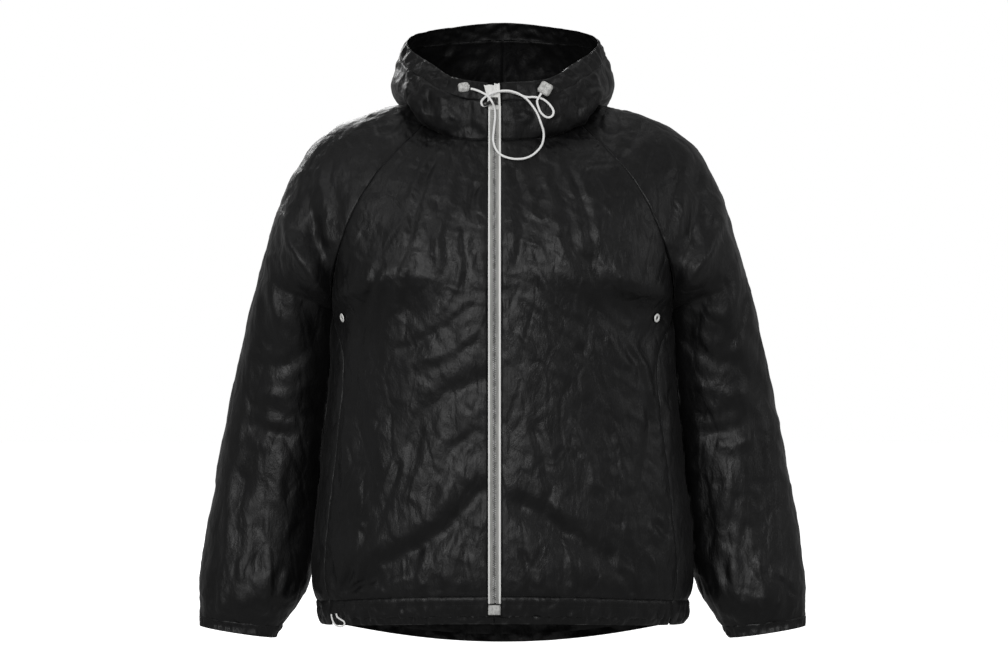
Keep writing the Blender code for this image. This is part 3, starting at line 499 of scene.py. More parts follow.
def backPoint(side, u, row):
    u, row = np.broadcast_arrays(np.asarray(u, float), np.asarray(row, float))
    share = np.minimum(1, smoothRows(bodyRows, row)[:, 6] + 0.0003)
    inner = bodyCurve(side, row, False, 0, np.minimum(u, 1))
    aside = 1 - (np.maximum(u, 1) - 1) * (1 - share)
    wrap = bodyCurve(side, row, True, side * cut["zipX"] + cut["zipHalf"], aside)
    high = yokeCurve(side, np.maximum(row - cut["foot"], 0), False, 0, np.minimum(u, 1))
    return np.where((row > cut["foot"])[:, None], high, np.where((u <= 1)[:, None], inner, wrap))


def sleevePoint(side, u, row):
    u, row = np.broadcast_arrays(np.asarray(u, float), np.asarray(row, float))
    r = smoothRows(sleeveRows, row)
    out, inn = point(r[:, 0], r[:, 4], r[:, 1]), point(r[:, 2], r[:, 4], r[:, 3])
    push = point(0, 4 / 3 * r[:, 5], 0)
    first, second = np.clip(2 * u, 0, 1), np.clip(2 * u - 1, 0, 1)
    frontHalf = bent(inn, inn - push, out - push, out, first)
    backHalf = bent(out, out + push, inn + push, inn, second)
    low = np.where((u <= 0.5)[:, None], frontHalf, backHalf)
    halves = []
    for front, s in ((True, first), (False, second)):
        _, seam, top, _, leave, crotch = yokeSeam(np.maximum(row - sleeveTop, 0), front)
        seam = seam + cut["seam"] * leave + crotch * np.array([0.3, 0, -0.1])
        ring = 4 / 3 * sleeveRows[-1, 5]
        far = np.linalg.norm(top - seam, axis=1)[:, None]
        atSeam = seam + (crotch * ring + (1 - crotch) * 0.36 * far) * leave
        atTop = top + (crotch * ring + (1 - crotch) * 0.42 * far) * np.array([0, -1.0 if front else 1.0, 0])
        halves.append(bent(seam, atSeam, atTop, top, s) if front else bent(top, atTop, atSeam, seam, s))
    high = np.where((u <= 0.5)[:, None], halves[0], halves[1])
    return mirrored(side, np.where((row <= sleeveTop)[:, None], low, high))


def neckPoint(side, u):
    if u < 3 / 7:
        return frontPoint(side, [u * 7 / 3], [cut["neck"]])[0]
    if u < 5 / 7:
        return sleevePoint(side, [(u - 3 / 7) * 7 / 2], [sleeveNeck])[0]
    return backPoint(side, [(1 - u) * 7 / 2], [cut["neck"]])[0]


hoodCache = {}


def hoodLine(side, u):
    key = (side, round(u, 6))
    if key not in hoodCache:
        sunk = 0.8 + 2.6 * math.exp(-((u - 0.55) / 0.2) ** 2)      # the hood's edge goes just inside the neck
        start = neckPoint(side, u) * [side, 1, 1] - [0, 0, sunk]
        stations = np.concatenate([hoodLines, hoodLines[-2:-1]])
        stations[0, :, 0] = side * cut["zipX"] + cut["zipHalf"]
        stations[-1, :, 0] *= -1
        rest = smoothRows(stations.reshape(9, -1), np.array([u * 7.0]))[0].reshape(-1, 3)
        line = smoothRows(np.vstack([start, rest]), np.linspace(0, 6, 61))
        hoodCache[key] = line, lengths(line)
    return hoodCache[key]


def hoodAt(side, u, s, fromEdge=False):
    line, length = hoodLine(side, u)
    s = length[-1] - s if fromEdge else s
    return between(length, s, line).T * [side, 1, 1]


# cloth texture in the round
def lattice(i, j, k, seed):
    h = (i * 374761393 + j * 668265263 + k * 1274126177 + seed * 974634777) & 0xffffffff
    h = ((h ^ (h >> 13)) * 1103515245) & 0xffffffff
    return ((h ^ (h >> 16)) & 0xffff) / 32767.5 - 1


def lumps(p, size, seed):
    # smooth random heights from about -1 to 1, with lumps of this size along x, y and z
    q = p / np.asarray(size, float) + seed * 17.3
    cell = np.floor(q).astype(np.int64)
    f = q - cell
    f = f * f * f * (f * (f * 6 - 15) + 10)
    shares = (1 - f, f)
    total = 0
    for a in (0, 1):
        for b in (0, 1):
            for c in (0, 1):
                weight = shares[a][:, 0] * shares[b][:, 1] * shares[c][:, 2]
                total = total + weight * lattice(cell[:, 0] + a, cell[:, 1] + b, cell[:, 2] + c, seed)
    return total


turnA = np.array([[0.80, 0.36, -0.48], [-0.60, 0.48, -0.64], [0.0, 0.80, 0.60]])


def crests(p, size, seed, soft=0.18):
    # narrow crests between flat hollows, as crushed cloth keeps them
    n = lumps(p @ turnA, size, seed) + 0.35 * lumps(p @ turnA.T, np.asarray(size) * 0.6, seed + 5)
    return 1 - 2.2 * np.sqrt(n * n + soft * soft)


def foldHeights(p, folds, side=None):
    # the listed folds, let drift a little, each tapering to its ends
    q = p.copy()
    if side:
        q[:, 0] *= side
    drift = 4.5 * np.stack([lumps(p, (46, 60, 60), 31), lumps(p, (60, 60, 50), 32)], axis=1)
    q[:, 0] += drift[:, 0]
    q[:, 2] += drift[:, 1]
    total = np.zeros(len(p))
    for wide, deep, *line in folds:
        nearest, along = toLine(q, line)
        taper = np.clip(np.minimum(along, 1 - along) * 5, 0.0, 1)
        taper = taper * taper * (3 - 2 * taper) * (0.75 + 0.25 * np.sin(9 * along + wide))
        width = wide * (0.75 + 0.4 * along)
        beside = 0.35 * np.exp(-((nearest - 1.9 * width) / width) ** 2)
        total += deep * taper * (np.exp(-(nearest / width) ** 2) - beside)
    return total


# crushed creases: size of the lumps, softness of the crests and height, in millimetres
creases = [((64, 44, 118), 0.07, 1.35), ((27, 21, 64), 0.06, 0.95), ((12, 10, 27), 0.07, 0.46)]


def crinkle(p):
    drifted = p + 6 * np.stack([lumps(p, 55, seed) for seed in (41, 42, 43)], axis=1)
    total = sum(high * crests(drifted, size, k + 1, soft) for k, (size, soft, high) in enumerate(creases))
    return (0.72 + 0.28 * lumps(p, 120, 8)) * total


def streaks(p, across, along, seed):
    broad = lumps(p, (across, across, along), seed)
    return broad + 0.6 * lumps(p, (across * 0.55, across * 0.55, along * 0.8), seed + 3)


# cloth pieces: walls, seams and how the cloth dips and puckers along them
sheets = {}
seamDip = {"deep": 0.9, "wide": 2.2, "pucker": 0.8, "flat": 0.75, "reach": 9}


def addObject(name, data, material, body="jacket"):
    obj = bpy.data.objects.new(name, data)
    scene.collection.objects.link(obj)
    data.materials.append(material)
    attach(obj, body)
    return obj


def smoothMesh(mesh, name):
    for face in mesh.faces:
        face.smooth = True
    data = bpy.data.meshes.new(name)
    mesh.to_mesh(data)
    mesh.free()
    return data


def flatGrid(name, across, up):
    # a unit grid's mesh, its u and v by rows, and the order that puts its points so
    grid = bmesh.new()
    bmesh.ops.create_grid(grid, x_segments=across, y_segments=up, size=0.5)
    data = bpy.data.meshes.new(name + "Cloth")
    grid.to_mesh(data)
    grid.free()
    flat = np.empty(len(data.vertices) * 3)
    data.vertices.foreach_get("co", flat)
    uv = flat.reshape(-1, 3)[:, :2] + 0.5
    order = np.lexsort((uv[:, 0].round(5), uv[:, 1].round(5)))
    return data, uv[order, 0], uv[order, 1], order


def calmed(base, rowNumbers, ease):
    # the cut changes hands at the underarm row: ease the kink out
    weight = np.exp(-((rowNumbers - cut["foot"]) / 0.9) ** 2)[:, None, None]
    for _ in range(60):
        eased = base.copy()
        eased[1:-1] = 0.25 * base[:-2] + 0.5 * base[1:-1] + 0.25 * base[2:]
        base = base + weight * (eased - base) * ease[None, :, None]
    return base


def crossed(base):
    return np.cross(np.gradient(base, axis=1), np.gradient(base, axis=0))


def wayOut(base, turned):
    normal = crossed(base) * (-1 if turned else 1)
    size = np.linalg.norm(normal, axis=2)
    for column in range(base.shape[1] - 1, 0, -1):
        # columns that run together into a corner take their neighbour's way out
        lost = size[:, column - 1] < 1e-7
        normal[lost, column - 1] = normal[lost, column]
    return unit(normal)


def alongCloth(base):
    # how far each point lies from the left edge and from the foot, along the cloth
    stepsU = np.linalg.norm(np.diff(base, axis=1), axis=2)
    stepsV = np.linalg.norm(np.diff(base, axis=0), axis=2)
    fromLeft = np.concatenate([np.zeros((len(base), 1)), np.cumsum(stepsU, axis=1)], axis=1)
    fromFoot = np.concatenate([np.zeros((1, base.shape[1])), np.cumsum(stepsV, axis=0)], axis=0)
    return fromLeft, fromFoot


def seamed(raised, points, edges, fromLeft, fromFoot):
    away = [fromLeft, fromLeft[:, -1:] - fromLeft, fromFoot, fromFoot[-1:] - fromFoot]
    groove, nearSeam = np.zeros(raised.shape), np.full(raised.shape, 1e9)
    for isSeam, distance in zip(edges, away):
        if isSeam:
            groove -= seamDip["deep"] * np.exp(-(distance / seamDip["wide"]) ** 2)
            nearSeam = np.minimum(nearSeam, distance)
    pucker = seamDip["pucker"] * lumps(points, (9, 9, 11), 21).reshape(raised.shape)
    pucker = pucker * np.exp(-((nearSeam - 5) / 7) ** 2)
    return raised * (1 - seamDip["flat"] * np.exp(-(nearSeam / seamDip["reach"]) ** 2)) + groove + pucker


def clothPiece(name, place, height, across, up, turned,
               material=shellNylon, edges=(1, 1, 1, 1), calmRows=None, ease=None):
    # a grid laid on place(u, v) and raised by height(points, u, v)
    # edges say which sides are seams: left, right, foot and top
    data, u, v, order = flatGrid(name, across, up)
    shape = (up + 1, across + 1)
    base = place(u, v).reshape(*shape, 3)
    if calmRows:
        base = calmed(base, calmRows(v).reshape(shape)[:, 0], ease)
    fromLeft, fromFoot = alongCloth(base)
    points = base.reshape(-1, 3)
    raised = seamed(height(points, u, v).reshape(shape), points, edges, fromLeft, fromFoot)
    lifted = base + wayOut(base, turned) * raised[..., None]
    moved = np.empty((len(u), 3))
    moved[order] = lifted.reshape(-1, 3) * mm
    data.vertices.foreach_set("co", moved.ravel())
    piece = bmesh.new()
    piece.from_mesh(data)
    bmesh.ops.remove_doubles(piece, verts=piece.verts, dist=0.00002)
    if turned:
        bmesh.ops.reverse_faces(piece, faces=piece.faces)
    for face in piece.faces:
        face.smooth = True
    piece.to_mesh(data)
    piece.free()
    obj = addObject(name + "Shell", data, material)
    wall = obj.modifiers.new("clothThickness", "SOLIDIFY")
    wall.thickness, wall.offset = cut["wall"] * mm, -1
    # the flat cut has a little more length and area than the form, for the folds
    wide, tall = fromLeft[:, -1].max() * mm * 1.04, fromFoot[-1].max() * mm * 1.04
    area = np.linalg.norm(crossed(base), axis=2)[1:-1, 1:-1].sum() * mm * mm * 1.06
    area = min(max(area, 0.31 * wide * tall), 1.0 * wide * tall)
    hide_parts(name)
    sheets[name] = lifted, wayOut(lifted, turned), obj
    print(f"{name}: cut {wide * 1000:.0f} by {tall * 1000:.0f} mm, {area:.4f} m2, {len(data.polygons)} quads")


def onSheet(name, u, v):
    # the raised cloth at (u, v) and its way out, in millimetres
    lifted, normal, _ = sheets[name]
    y, x = np.clip(v, 0, 1) * (lifted.shape[0] - 1), np.clip(u, 0, 1) * (lifted.shape[1] - 1)
    i, j = min(int(y), lifted.shape[0] - 2), min(int(x), lifted.shape[1] - 2)
    a, b = y - i, x - j
    shares = ((1 - a) * (1 - b), (1 - a) * b, a * (1 - b), a * b)
    corners = ((i, j), (i, j + 1), (i + 1, j), (i + 1, j + 1))
    spot = sum(w * lifted[k] for w, k in zip(shares, corners))
    return spot, unit(sum(w * normal[k] for w, k in zip(shares, corners)))


casingTop, gap = 2, cut["seam"]
bodyFirst, bodyLast = casingTop + gap / 25, cut["neck"] - gap / 20
closedRow, openRow = 0.56, 0.64      # the front casing meets its other half below these rows


def bodyRow(v):
    return bodyFirst + v * (bodyLast - bodyFirst)


def casingRow(v):
    return np.interp(v, (0, 1 / 3, 2 / 3, 1), (gap / 17, closedRow, openRow, casingTop + 0.10))


# how high gathers and bulges stand, in millimetres
rise = {"neck": 2.0, "hem": 1.5, "side": 1.8, "flank": 3.0, "cuff": 2.6, "shoulder": 1.6, "inner": 4.8,
        "band": 1.7, "casing": 2.7, "hood": 3.2, "rim": 2.6}


def bodyHeight(p, u, v):
    row = bodyRow(v)
    neckward = np.clip((row - 14.6) / 3.4, 0, 1) ** 1.6
    hemward = np.exp(-np.clip(row - 2, 0, 9) * 1.3)
    gathers = rise["neck"] * neckward * streaks(p, 8.5, 70, 11)
    gathers = gathers + rise["hem"] * hemward * streaks(p, 9.5, 55, 12)
    outwards = np.abs(p[:, 0])
    side = np.exp(-((outwards - 222) / 16) ** 2) * np.clip(1 - np.abs(p[:, 2] + 440) / 210, 0, 1)
    side = side * rise["side"] * crests(p, (14, 14, 10), 14)
    fore = np.clip((24 - p[:, 1]) / 46, 0, 1)
    hand = fore * foldHeights(p, frontFolds) + (1 - fore) * foldHeights(p, backFolds)
    # the side fills out below the armpit to meet the sleeve
    flank = rise["flank"] * np.clip((outwards - 214) / 12, 0, 1) * np.exp(-((p[:, 2] + 308) / 34) ** 2)
    return hand + crinkle(p) + gathers + side + flank


def hemHeight(p, u, v):
    # the casing stands proud of the cloth above it, and its top edge is tucked in
    middle = np.sin(np.pi * np.clip(v, 0, 1)) ** 0.6
    proud = 0.6 + 0.5 * (v > 0.9) - 2.6 * (v > 0.99)
    gathers = middle * (0.7 + rise["casing"] * streaks(p, 7.5, 60, 12))
    return proud + gathers + 1.1 * middle * crests(p, (16, 14, 12), 15)


def sleeveHeight(p, row, side):
    cuffward = np.exp(-np.clip(row - 1, 0, 9) * 0.9)
    neckward = np.clip((row - 15.5) / 3.5, 0, 1) ** 1.5
    gathers = rise["cuff"] * cuffward * streaks(p, 9, 50, 16)
    gathers = gathers + rise["shoulder"] * neckward * streaks(p, 9, 60, 11)
    front = np.clip((20 - p[:, 1]) / 30, 0, 1)
    hand = foldHeights(p, sleeveFolds, side) * (front + (1 - front) * -0.8)
    # and so does the sleeve's inner side
    inner = rise["inner"] * np.clip((254 - np.abs(p[:, 0])) / 16, 0, 1)
    inner = inner * np.exp(-((p[:, 2] + 312) / 38) ** 2)
    return hand + 1.15 * crinkle(p) + gathers + inner


def cuffHeight(p, u, v):
    gathers = rise["band"] * streaks(p, 6.5, 40, 17) * (0.3 + np.sin(np.pi * np.clip(v, 0, 1)))
    return 0.8 + gathers * np.clip((1 - v) * 6, 0, 1) - 2.2 * (v > 0.99)


def hoodHeight(p, v, side):
    gathers = rise["hood"] * (np.exp(-v * 4) + 0.8 * np.exp(-(1 - v) * 4)) * streaks(p, 8.5, 46, 18)
    return 1.2 * foldHeights(p, hoodFolds, side) + 0.9 * crinkle(p) + gathers


def rimHeight(p, u, v):
    gathers = np.sin(np.pi * v) ** 0.6 * (0.8 + rise["rim"] * streaks(p, 8, 30, 19))
    return gathers + 0.8 * crests(p, (15, 13, 12), 20)


frontEase = np.clip((1 - np.linspace(0, 1, 113)) * 5, 0, 1)
backEase = np.clip(0.62 - np.abs(np.linspace(-1, 1, 201)), 0, 0.2) * 5

for side, word in ((-1, "right"), (1, "left")):
    def placeFront(u, v, side=side):
        return frontPoint(side, u, bodyRow(v))

    def placeHem(u, v, side=side):
        row = casingRow(v)
        beside = row > openRow - 0.01      # up here the zip lies between the halves
        return np.where(beside[:, None], frontPoint(side, u, row), frontPoint(side, u, row, 0.12))

    clothPiece("front_" + word, placeFront, bodyHeight, 112, 276, side < 0,
               calmRows=bodyRow, ease=frontEase)
    clothPiece("hem_front_" + word, placeHem, hemHeight, 130, 26, side < 0,
               casingNylon, (0, 1, 0, 0))

around, wrapped = 11, 3      # the back's width in columns, and how many of them wrap forward


def wholeBack(u, row):
    column = np.abs(1 - 2 * u) * around
    across = np.where(column <= 8, column / 8, 1 + (column - 8) / wrapped)
    return np.where((u < 0.5)[:, None], backPoint(1, across, row), backPoint(-1, across, row))


def placeBack(u, v):
    return wholeBack(u, bodyRow(v))


def placeBackHem(u, v):
    return wholeBack(u, casingRow(v))


clothPiece("back", placeBack, bodyHeight, 200, 190, False,
           calmRows=bodyRow, ease=backEase)
clothPiece("hem_back", placeBackHem, hemHeight, 240, 24, False,
           casingNylon, (1, 1, 0, 0))

firstRow, lastRow = 1 + gap / 14, sleeveNeck - gap / 25


def sleeveRow(v):
    return firstRow + v * (lastRow - firstRow)


for side, word in ((-1, "right"), (1, "left")):
    def placeSleeve(u, v, side=side):
        return sleevePoint(side, u, sleeveRow(v))

    def raiseSleeve(p, u, v, side=side):
        return sleeveHeight(p, sleeveRow(v), side)

    def placeCuff(u, v, side=side):
        return sleevePoint(side, u, gap / 12 + v * 1.2)

    clothPiece("sleeve_" + word, placeSleeve, raiseSleeve, 124, 190, side < 0)
    clothPiece("cuff_" + word, placeCuff, cuffHeight, 140, 12, side < 0,
               casingNylon, (0, 0, 0, 0))

for side, word in ((-1, "right"), (1, "left")):
    def placeHood(u, v, side=side):
        made = np.empty((len(u), 3))
        for column in np.unique(u):
            mine = u == column
            whole = hoodLine(side, column)[1][-1] - cut["casing"]
            made[mine] = hoodAt(side, column, v[mine] * (whole - gap))
        return made

    def raiseHood(p, u, v, side=side):
        return hoodHeight(p, v, side)

    # the hood halves take the darker nylon, painted shade
    clothPiece("hood_" + word, placeHood, raiseHood, 120, 92, side < 0,
               shadedHoodNylon)


def placeRim(u, v):
    made = np.empty((len(u), 3))
    for column in np.unique(u):
        mine = u == column
        side, across = (1, 2 * column) if column < 0.5 else (-1, 2 - 2 * column)
        made[mine] = hoodAt(side, across, (1 - v[mine]) * (cut["casing"] + 1.2), True)
    return made


# the hood's casing takes the same darker nylon, painted shade
clothPiece("hood_casing", placeRim, rimHeight, 280, 14, False,
           shadedHoodNylon, (1, 1, 1, 0))
print("cloth cut and folded")

# stitching: short raised threads laid on the cloth, in millimetres
stitch = {"pitch": 2.9, "long": 2.1, "wide": 0.42, "high": 0.34, "proud": 0.10}


def stitchRow(mesh, name, start, end):
    # a straight row on the cut from (u, v) to (u, v)
    start, end = np.array(start, float), np.array(end, float)
    fine = [onSheet(name, *(start + (end - start) * t)) for t in np.linspace(0, 1, 160)]
    spots, ways = np.array([f[0] for f in fine]), np.array([f[1] for f in fine])
    gone = lengths(spots)
    size = Matrix.Diagonal((stitch["long"] * mm, stitch["wide"] * mm, stitch["high"] * mm, 1))
    for s in np.arange(stitch["pitch"], gone[-1] - stitch["pitch"], stitch["pitch"]):
        here, out = between(gone, s, spots), unit(between(gone, s, ways))
        along = unit(between(gone, s + 1.0, spots) - here)
        across = unit(np.cross(out, along))
        turn = Matrix([list(along), list(across), list(np.cross(along, across))]).transposed().to_4x4()
        at = Matrix.Translation(Vector(here + stitch["proud"] * out) * mm)
        bmesh.ops.create_cube(mesh, size=1, matrix=at @ turn @ size)


def stitchPiece(name, rows):
    mesh = bmesh.new()
    for row in rows:
        stitchRow(mesh, *row)
    addObject(name, smoothMesh(mesh, name), blackThread)


for word in ("left", "right"):
    front, hem, cuff, sleeve = ["_".join((kind, word)) for kind in ("front", "hem_front", "cuff", "sleeve")]
    stitchPiece("stitchesFront_" + word, [
        (front, (0.030, 0.004), (0.030, 0.996)), (front, (0.003, 0.006), (0.993, 0.006)),
        (hem, (0.02, 0.93), (0.98, 0.93)), (hem, (0.02, 0.86), (0.98, 0.86))])
    stitchPiece("stitchesSleeve_" + word, [
        (cuff, (0, 0.82), (1, 0.82)), (sleeve, (0.012, 0.53), (0.012, 0.99)),
        (sleeve, (0.988, 0.53), (0.988, 0.99))])
stitchPiece("stitchesHem", [("hem_back", (0, 0.94), (1, 0.94)), ("hem_back", (0, 0.86), (1, 0.86))])
stitchPiece("stitchesHood", [("hood_casing", (0, 0.10), (1, 0.10)), ("hood_casing", (0, 0.17), (1, 0.17))])
print("stitching laid")

# zip
zipper = {"top": -8, "foot": -665.7, "pitch": 2.4, "tape": 0.6, "half": 8.1}
zipRows = [0.80 + 0.4 * i for i in range(43)] + [cut["neck"]]
zipLine = [frontPoint(1, [0.0], [row])[0][1:] for row in zipRows]
hoodWhole = hoodLine(1, 0.0)[1][-1]
zipLine += [hoodAt(1, 0.0, np.array([hoodWhole * k / 8]))[0][1:] for k in range(1, 9)]
zipLine = np.array(zipLine)
zipSteps = lengths(zipLine)


def zipAt(z):
    # (y, z) of the zip's face at this height, and its way out
    s = np.interp(z, zipLine[:, 1], zipSteps)
    here, ahead, behind = [between(zipSteps, q, zipLine) for q in (s, s + 4, s - 4)]
    along = unit(ahead - behind)
    return here, np.array([-along[1], along[0]]), along


def zipStrip(name, profile, heights, material, replaces=(), sway=None):
    # a profile of (x, out) drawn up the zip; sway moves and lifts it by height
    mesh = bmesh.new()
    bmesh.ops.create_grid(mesh, x_segments=len(profile) - 1, y_segments=len(heights) - 1, size=0.5)
    for vert in mesh.verts:
        i, j = round((vert.co.x + 0.5) * (len(profile) - 1)), round((vert.co.y + 0.5) * (len(heights) - 1))
        x, out = profile[i]
        z = heights[j]
        if sway:
            x, out, z = sway(x, out, z)
        here, way, _ = zipAt(z)
        spot = here + way * out
        vert.co = Vector((cut["zipX"] + x, spot[0], spot[1])) * mm
    bmesh.ops.recalc_face_normals(mesh, faces=mesh.faces)
    if sum(face.normal.y for face in mesh.faces) > 0:
        bmesh.ops.reverse_faces(mesh, faces=mesh.faces)
    obj = addObject(name, smoothMesh(mesh, name), material)
    wall = obj.modifiers.new("tapeThickness", "SOLIDIFY")
    wall.thickness, wall.offset = zipper["tape"] * mm, -1
    if replaces:
        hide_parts(*replaces)


heights = list(np.linspace(zipper["foot"], zipper["top"], 330))
edgeBand = [(0.0, 0.0), (0.25, 0.45), (0.9, 0.75), (1.7, 0.8), (2.3, 0.5), (2.6, 0.05)]
fan = {"length": 24, "step": 1.6, "curl": 1.0, "jag": 0.8, "right": -6.2, "left": -1.2}


def fanned(side):
    # above the slider the loose tape ends lean together, curl and fray
    def sway(x, out, z):
        lean = min(max((z - zipper["top"] - 4) / fan["length"], 0), 1.15)
        step = fan["step"] * min(max((z - zipper["top"]) / 4, 0), 1)
        jag = fan["jag"] * math.sin(2.1 * x + side) * max(0, lean - 0.8)
        curl = fan["curl"] * lean * math.sin(0.9 * x + 1.3 * side) + 0.4 * math.sin(z * 0.5) * lean
        across = (fan["right"] if side < 0 else fan["left"]) * lean * (abs(x) / zipper["half"])
        return x + across, out + step + curl, z + jag
    return sway


def ribbed(side, low, high, count, lift):
    return [(side * x, lift + 0.22 * math.sin(k * 1.9)) for k, x in enumerate(np.linspace(low, high, count))]


for side, word in ((-1, "right"), (1, "left")):
    stretch = 1.0 if side < 0 else 1.1
    band = [(side * (5.7 + x * stretch), 0.1 + out) for x, out in edgeBand]
    loose = list(np.linspace(zipper["top"] - 5, 22 if side > 0 else 20, 30))
    looseEnd = ribbed(side, -0.4 if side > 0 else 0.0, zipper["half"], 16, 0.3)
    # the web takes the darker tape, painted shade in the groove beside the coil
    zipStrip("zipWeb_" + word, ribbed(side, 2.0, 6.2, 12, 0.15), heights, shadedGrooveTape, ("zip_tape_" + word,))
    zipStrip("zipEdge_" + word, band, heights, brightTape)
    zipStrip("zipFan_" + word, looseEnd, loose, brightTape, sway=fanned(side))

tooth = {"wide": 2.3, "tall": 1.55, "deep": 1.3, "side": 1.25, "proud": 0.45}
toothSize = Matrix.Diagonal((tooth["wide"] * mm, tooth["tall"] * mm, tooth["deep"] * mm, 1))
teeth = bmesh.new()
count = int((zipper["top"] - zipper["foot"]) / zipper["pitch"])
for k in range(count):
    for side in (-1, 1):
        z = zipper["foot"] + 1.5 + zipper["pitch"] * (k + (0.5 if side > 0 else 0))
        if z > zipper["top"] - 3:
            continue
        here, way, along = zipAt(z)
        basis = Matrix(((1, 0, 0), (0, along[0], along[1]), (0, way[0], way[1]))).transposed().to_4x4()
        spot = here + way * tooth["proud"]
        at = Matrix.Translation(Vector((cut["zipX"] + side * tooth["side"], *spot)) * mm)
        bmesh.ops.create_cube(teeth, size=1, matrix=at @ basis @ toothSize)
bmesh.ops.bevel(teeth, geom=teeth.edges[:], offset=0.32 * mm, segments=1, affect="EDGES",
                profile=0.5, material=-1)
zipTeeth = addObject("zipTeeth", smoothMesh(teeth, "zipTeeth"), coilNylon)
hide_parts("zip_chain")


def roundedBlock(mesh, at, size, bevel, basis=None, segments=3):
    turn = (basis or Matrix.Identity(3)).to_4x4()
    whole = Matrix.Translation(Vector(at) * mm) @ turn @ Matrix.Diagonal((*(s * mm for s in size), 1))
    made = bmesh.ops.create_cube(mesh, size=1, matrix=whole)
    edges = list({edge for vert in made["verts"] for edge in vert.link_edges})
    bmesh.ops.bevel(mesh, geom=edges, offset=bevel * mm, segments=segments, affect="EDGES",
                    profile=0.5, material=-1)


def pieceFrom(mesh, name, material, body, slotName, *nodes):
    bmesh.ops.recalc_face_normals(mesh, faces=mesh.faces)
    data = smoothMesh(mesh, name)
    data.set_sharp_from_angle(angle=math.radians(42))
    obj = addObject(name, data, material, body)
    if nodes:
        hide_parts(*nodes)


def middleOf(name):
    low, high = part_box(name)
    return (Vector(low) / mm + Vector(high) / mm) / 2


# the zip's end box: a block with two raised rails and a lip
middle = middleOf("zip_bottom_box")
end = bmesh.new()
roundedBlock(end, middle, (16.4, 2.9, 13.2), 1.1)
roundedBlock(end, middle + Vector((-4.6, -1.2, 0.2)), (4.4, 1.4, 11.6), 0.5)
roundedBlock(end, middle + Vector((4.6, -1.2, 0.2)), (4.4, 1.4, 11.6), 0.5)
roundedBlock(end, middle + Vector((0, -1.1, -4.6)), (12.4, 1.2, 2.0), 0.4)
pieceFrom(end, "zipEndBox", paleBox, "jacket", "zip_box", "zip_bottom_box")

# pieces kept as the solids have them, in their own finish
keptNodes = {"zip_slider": darkMetal, "zip_pull": darkMetal,
             "eyelet_left": brightMetal, "eyelet_right": brightMetal}
for name, material in keptNodes.items():
    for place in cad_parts[name].material_slots:
        place.material = material
print("zip made")

# cord locks: wide and tall, lean about y and z in degrees, and the cord's hole as shares of wide and tall
locks = {"right": ((14.6, 12.6), (-10, 16), (0.47, 0)), "left": ((17.6, 16.6), (30, -22), (-0.40, -0.34))}
for word, ((wide, tall), (leanY, leanZ), (holeX, holeZ)) in locks.items():
    middle = middleOf("cord_lock_" + word)
    lock = bmesh.new()
    lean = Matrix.Rotation(math.radians(leanY), 3, "Y") @ Matrix.Rotation(math.radians(leanZ), 3, "Z")
    roundedBlock(lock, middle, (wide, 9.4, tall), 3.8, lean, 5)
    roundedBlock(lock, middle + lean @ Vector((0, -3.6, 0)), (wide * 0.62, 3.0, tall * 0.62), 1.3, lean, 3)
    mouth = Matrix.Translation((middle + lean @ Vector((wide * holeX, -1.5, tall * holeZ))) * mm)
    bmesh.ops.create_cone(lock, cap_ends=True, segments=24, radius1=2.5 * mm, radius2=2.2 * mm,
                          depth=2.2 * mm, matrix=mouth @ Matrix.Rotation(math.pi / 2, 4, "Y"))
    pieceFrom(lock, "cordLock_" + word, speckledPlastic, "jacket", "lock_plastic", "cord_lock_" + word)

# cords, laid over what is under them; points are x, z and how far out of it, in millimetres
hoodCordRoute = [
    (-42.4, 15, 5.0), (-35.5, 13.3, 3.6), (-27, 9.5, 5.5), (-20, 4.6, 9.0), (-14.6, -2.5, 10.5),
    (-11.2, -10, 8.5), (-9.7, -18.7, 3.6), (-10.4, -30.5, 2.6), (-11.8, -42.4, 2.6), (-12.4, -54.2, 2.6),
    (-9.5, -64.9, 2.6), (-3.8, -72.3, 2.6), (5, -77, 2.4), (17.8, -79.4, 2.2), (30.8, -78, 2.2),
    (41.5, -72.6, 2.2), (50.6, -63, 2.2), (54.5, -51.9, 2.2), (54.5, -41.2, 2.2), (51, -30.5, 2.2),
    (46, -17.5, 2.8), (39.1, -6.8, 4.2), (30.8, 2.1, 5.6), (20.2, 8.6, 5.8), (9.5, 11.6, 5.8),
    (-1.2, 11.8, 5.8), (-11.8, 9.4, 6.0), (-19.6, 5.6, 5.0), (-25.4, 1.6, 3.6), (-28.2, -3, 2.4),
    (-26.4, -7.6, 1.9), (-21.6, -7.6, 1.9), (-18.8, -3, 1.9), (-17.2, 3.6, 2.0), (-11.5, 8.8, 2.6),
    (-2, 11.2, 2.6), (9.5, 11, 2.1), (20.5, 8, 2.0), (31.5, 4, 2.0), (42.7, 4, 2.0), (53.4, 1.5, 2.0),
    (62.4, -5.6, 2.0), (67.8, -14.6, 2.0), (66, -21.4, 2.2), (59.3, -23.2, 2.4), (51.6, -17.5, 3.0),
    (47.6, -9.2, 4.4), (46, -1.6, 5.8), (48.2, 3.2, 5.6), (51.4, 8.6, 5.4)]
hemLoopRoute = [
    (-229, -686, 1.6), (-228, -692, 1.6), (-225, -698.5, 1.6), (-220.5, -701.5, 1.6), (-215, -701.5, 1.7),
    (-210.5, -698.5, 1.8), (-211.5, -694.5, 1.9), (-216, -692, 2.4), (-220.5, -689, 2.4),
    (-222, -684.5, 1.8)]
under = bmesh.new()
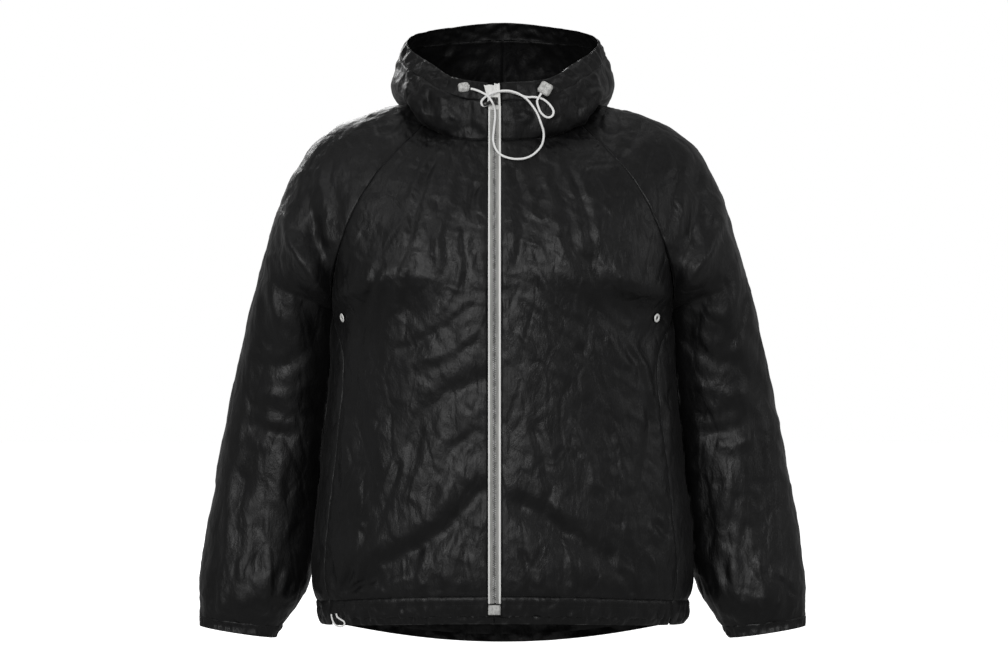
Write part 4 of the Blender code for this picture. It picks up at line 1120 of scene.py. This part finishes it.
for name in ("front", "hem_front", "hood"):
    for word in ("left", "right"):
        under.from_mesh(sheets[name + "_" + word][2].data)
for name in ("zipWeb", "zipEdge", "zipFan"):
    for word in ("left", "right"):
        under.from_mesh(bpy.data.objects[name + "_" + word].data)
under.from_mesh(sheets["hood_casing"][2].data)
under.from_mesh(bpy.data.objects["zipTeeth"].data)
under.from_mesh(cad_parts["zip_slider"].data)
underTree = BVHTree.FromBMesh(under)
under.free()


def foremost(x, z, around):
    # the frontmost y under this spot; it looks wider if only the back is met
    best = None
    for reach in (around, 4.5):
        for dx, dz in ((0, 0), (reach, 0), (-reach, 0), (0, reach), (0, -reach)):
            hit = underTree.ray_cast(Vector((x + dx, -300, z + dz)) * mm, Vector((0, 1, 0)))[0]
            if hit is not None and (best is None or hit.y < best):
                best = hit.y
        if best is not None and best < 0:
            break
    return best / mm


def laidCord(name, route, radius, floor, material, node, spacing):
    knots = [(x, foremost(x, max(z, floor), 1.3) - off, z) for x, z, off in route]
    # a rope under slight pull doesn't follow each small crease
    depth = np.array([k[1] for k in knots])
    calm = np.minimum(depth, np.convolve(np.pad(depth, 1, "edge"), (0.25, 0.5, 0.25), "valid") + 0.3)
    knots = np.array([(k[0], y, k[2]) for k, y in zip(knots, calm)])
    fine = smoothRows(knots, np.linspace(0, len(knots) - 1, 14 * len(knots)))
    gone = lengths(fine)
    count = int(round(gone[-1] / spacing)) + 1
    curve = bpy.data.curves.new(name, "CURVE")
    curve.dimensions = "3D"
    curve.bevel_depth, curve.bevel_resolution, curve.use_fill_caps = radius * mm, 6, True
    spline = curve.splines.new("POLY")
    spline.points.add(count - 1)
    for place, s in zip(spline.points, np.linspace(0, gone[-1], count)):
        spot = [float(v) * mm for v in between(gone, s, fine)]
        place.co = (*spot, 1)
    spline.use_smooth = True
    obj = addObject(name, curve, material)
    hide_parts(node)


laidCord("hoodElastic", hoodCordRoute, 1.5, -900, paleElastic, "hood_cord", 2.0)
laidCord("hemElastic", hemLoopRoute, 1.1, -690, paleElastic, "hem_cord_loop", 1.5)
print("cords laid")
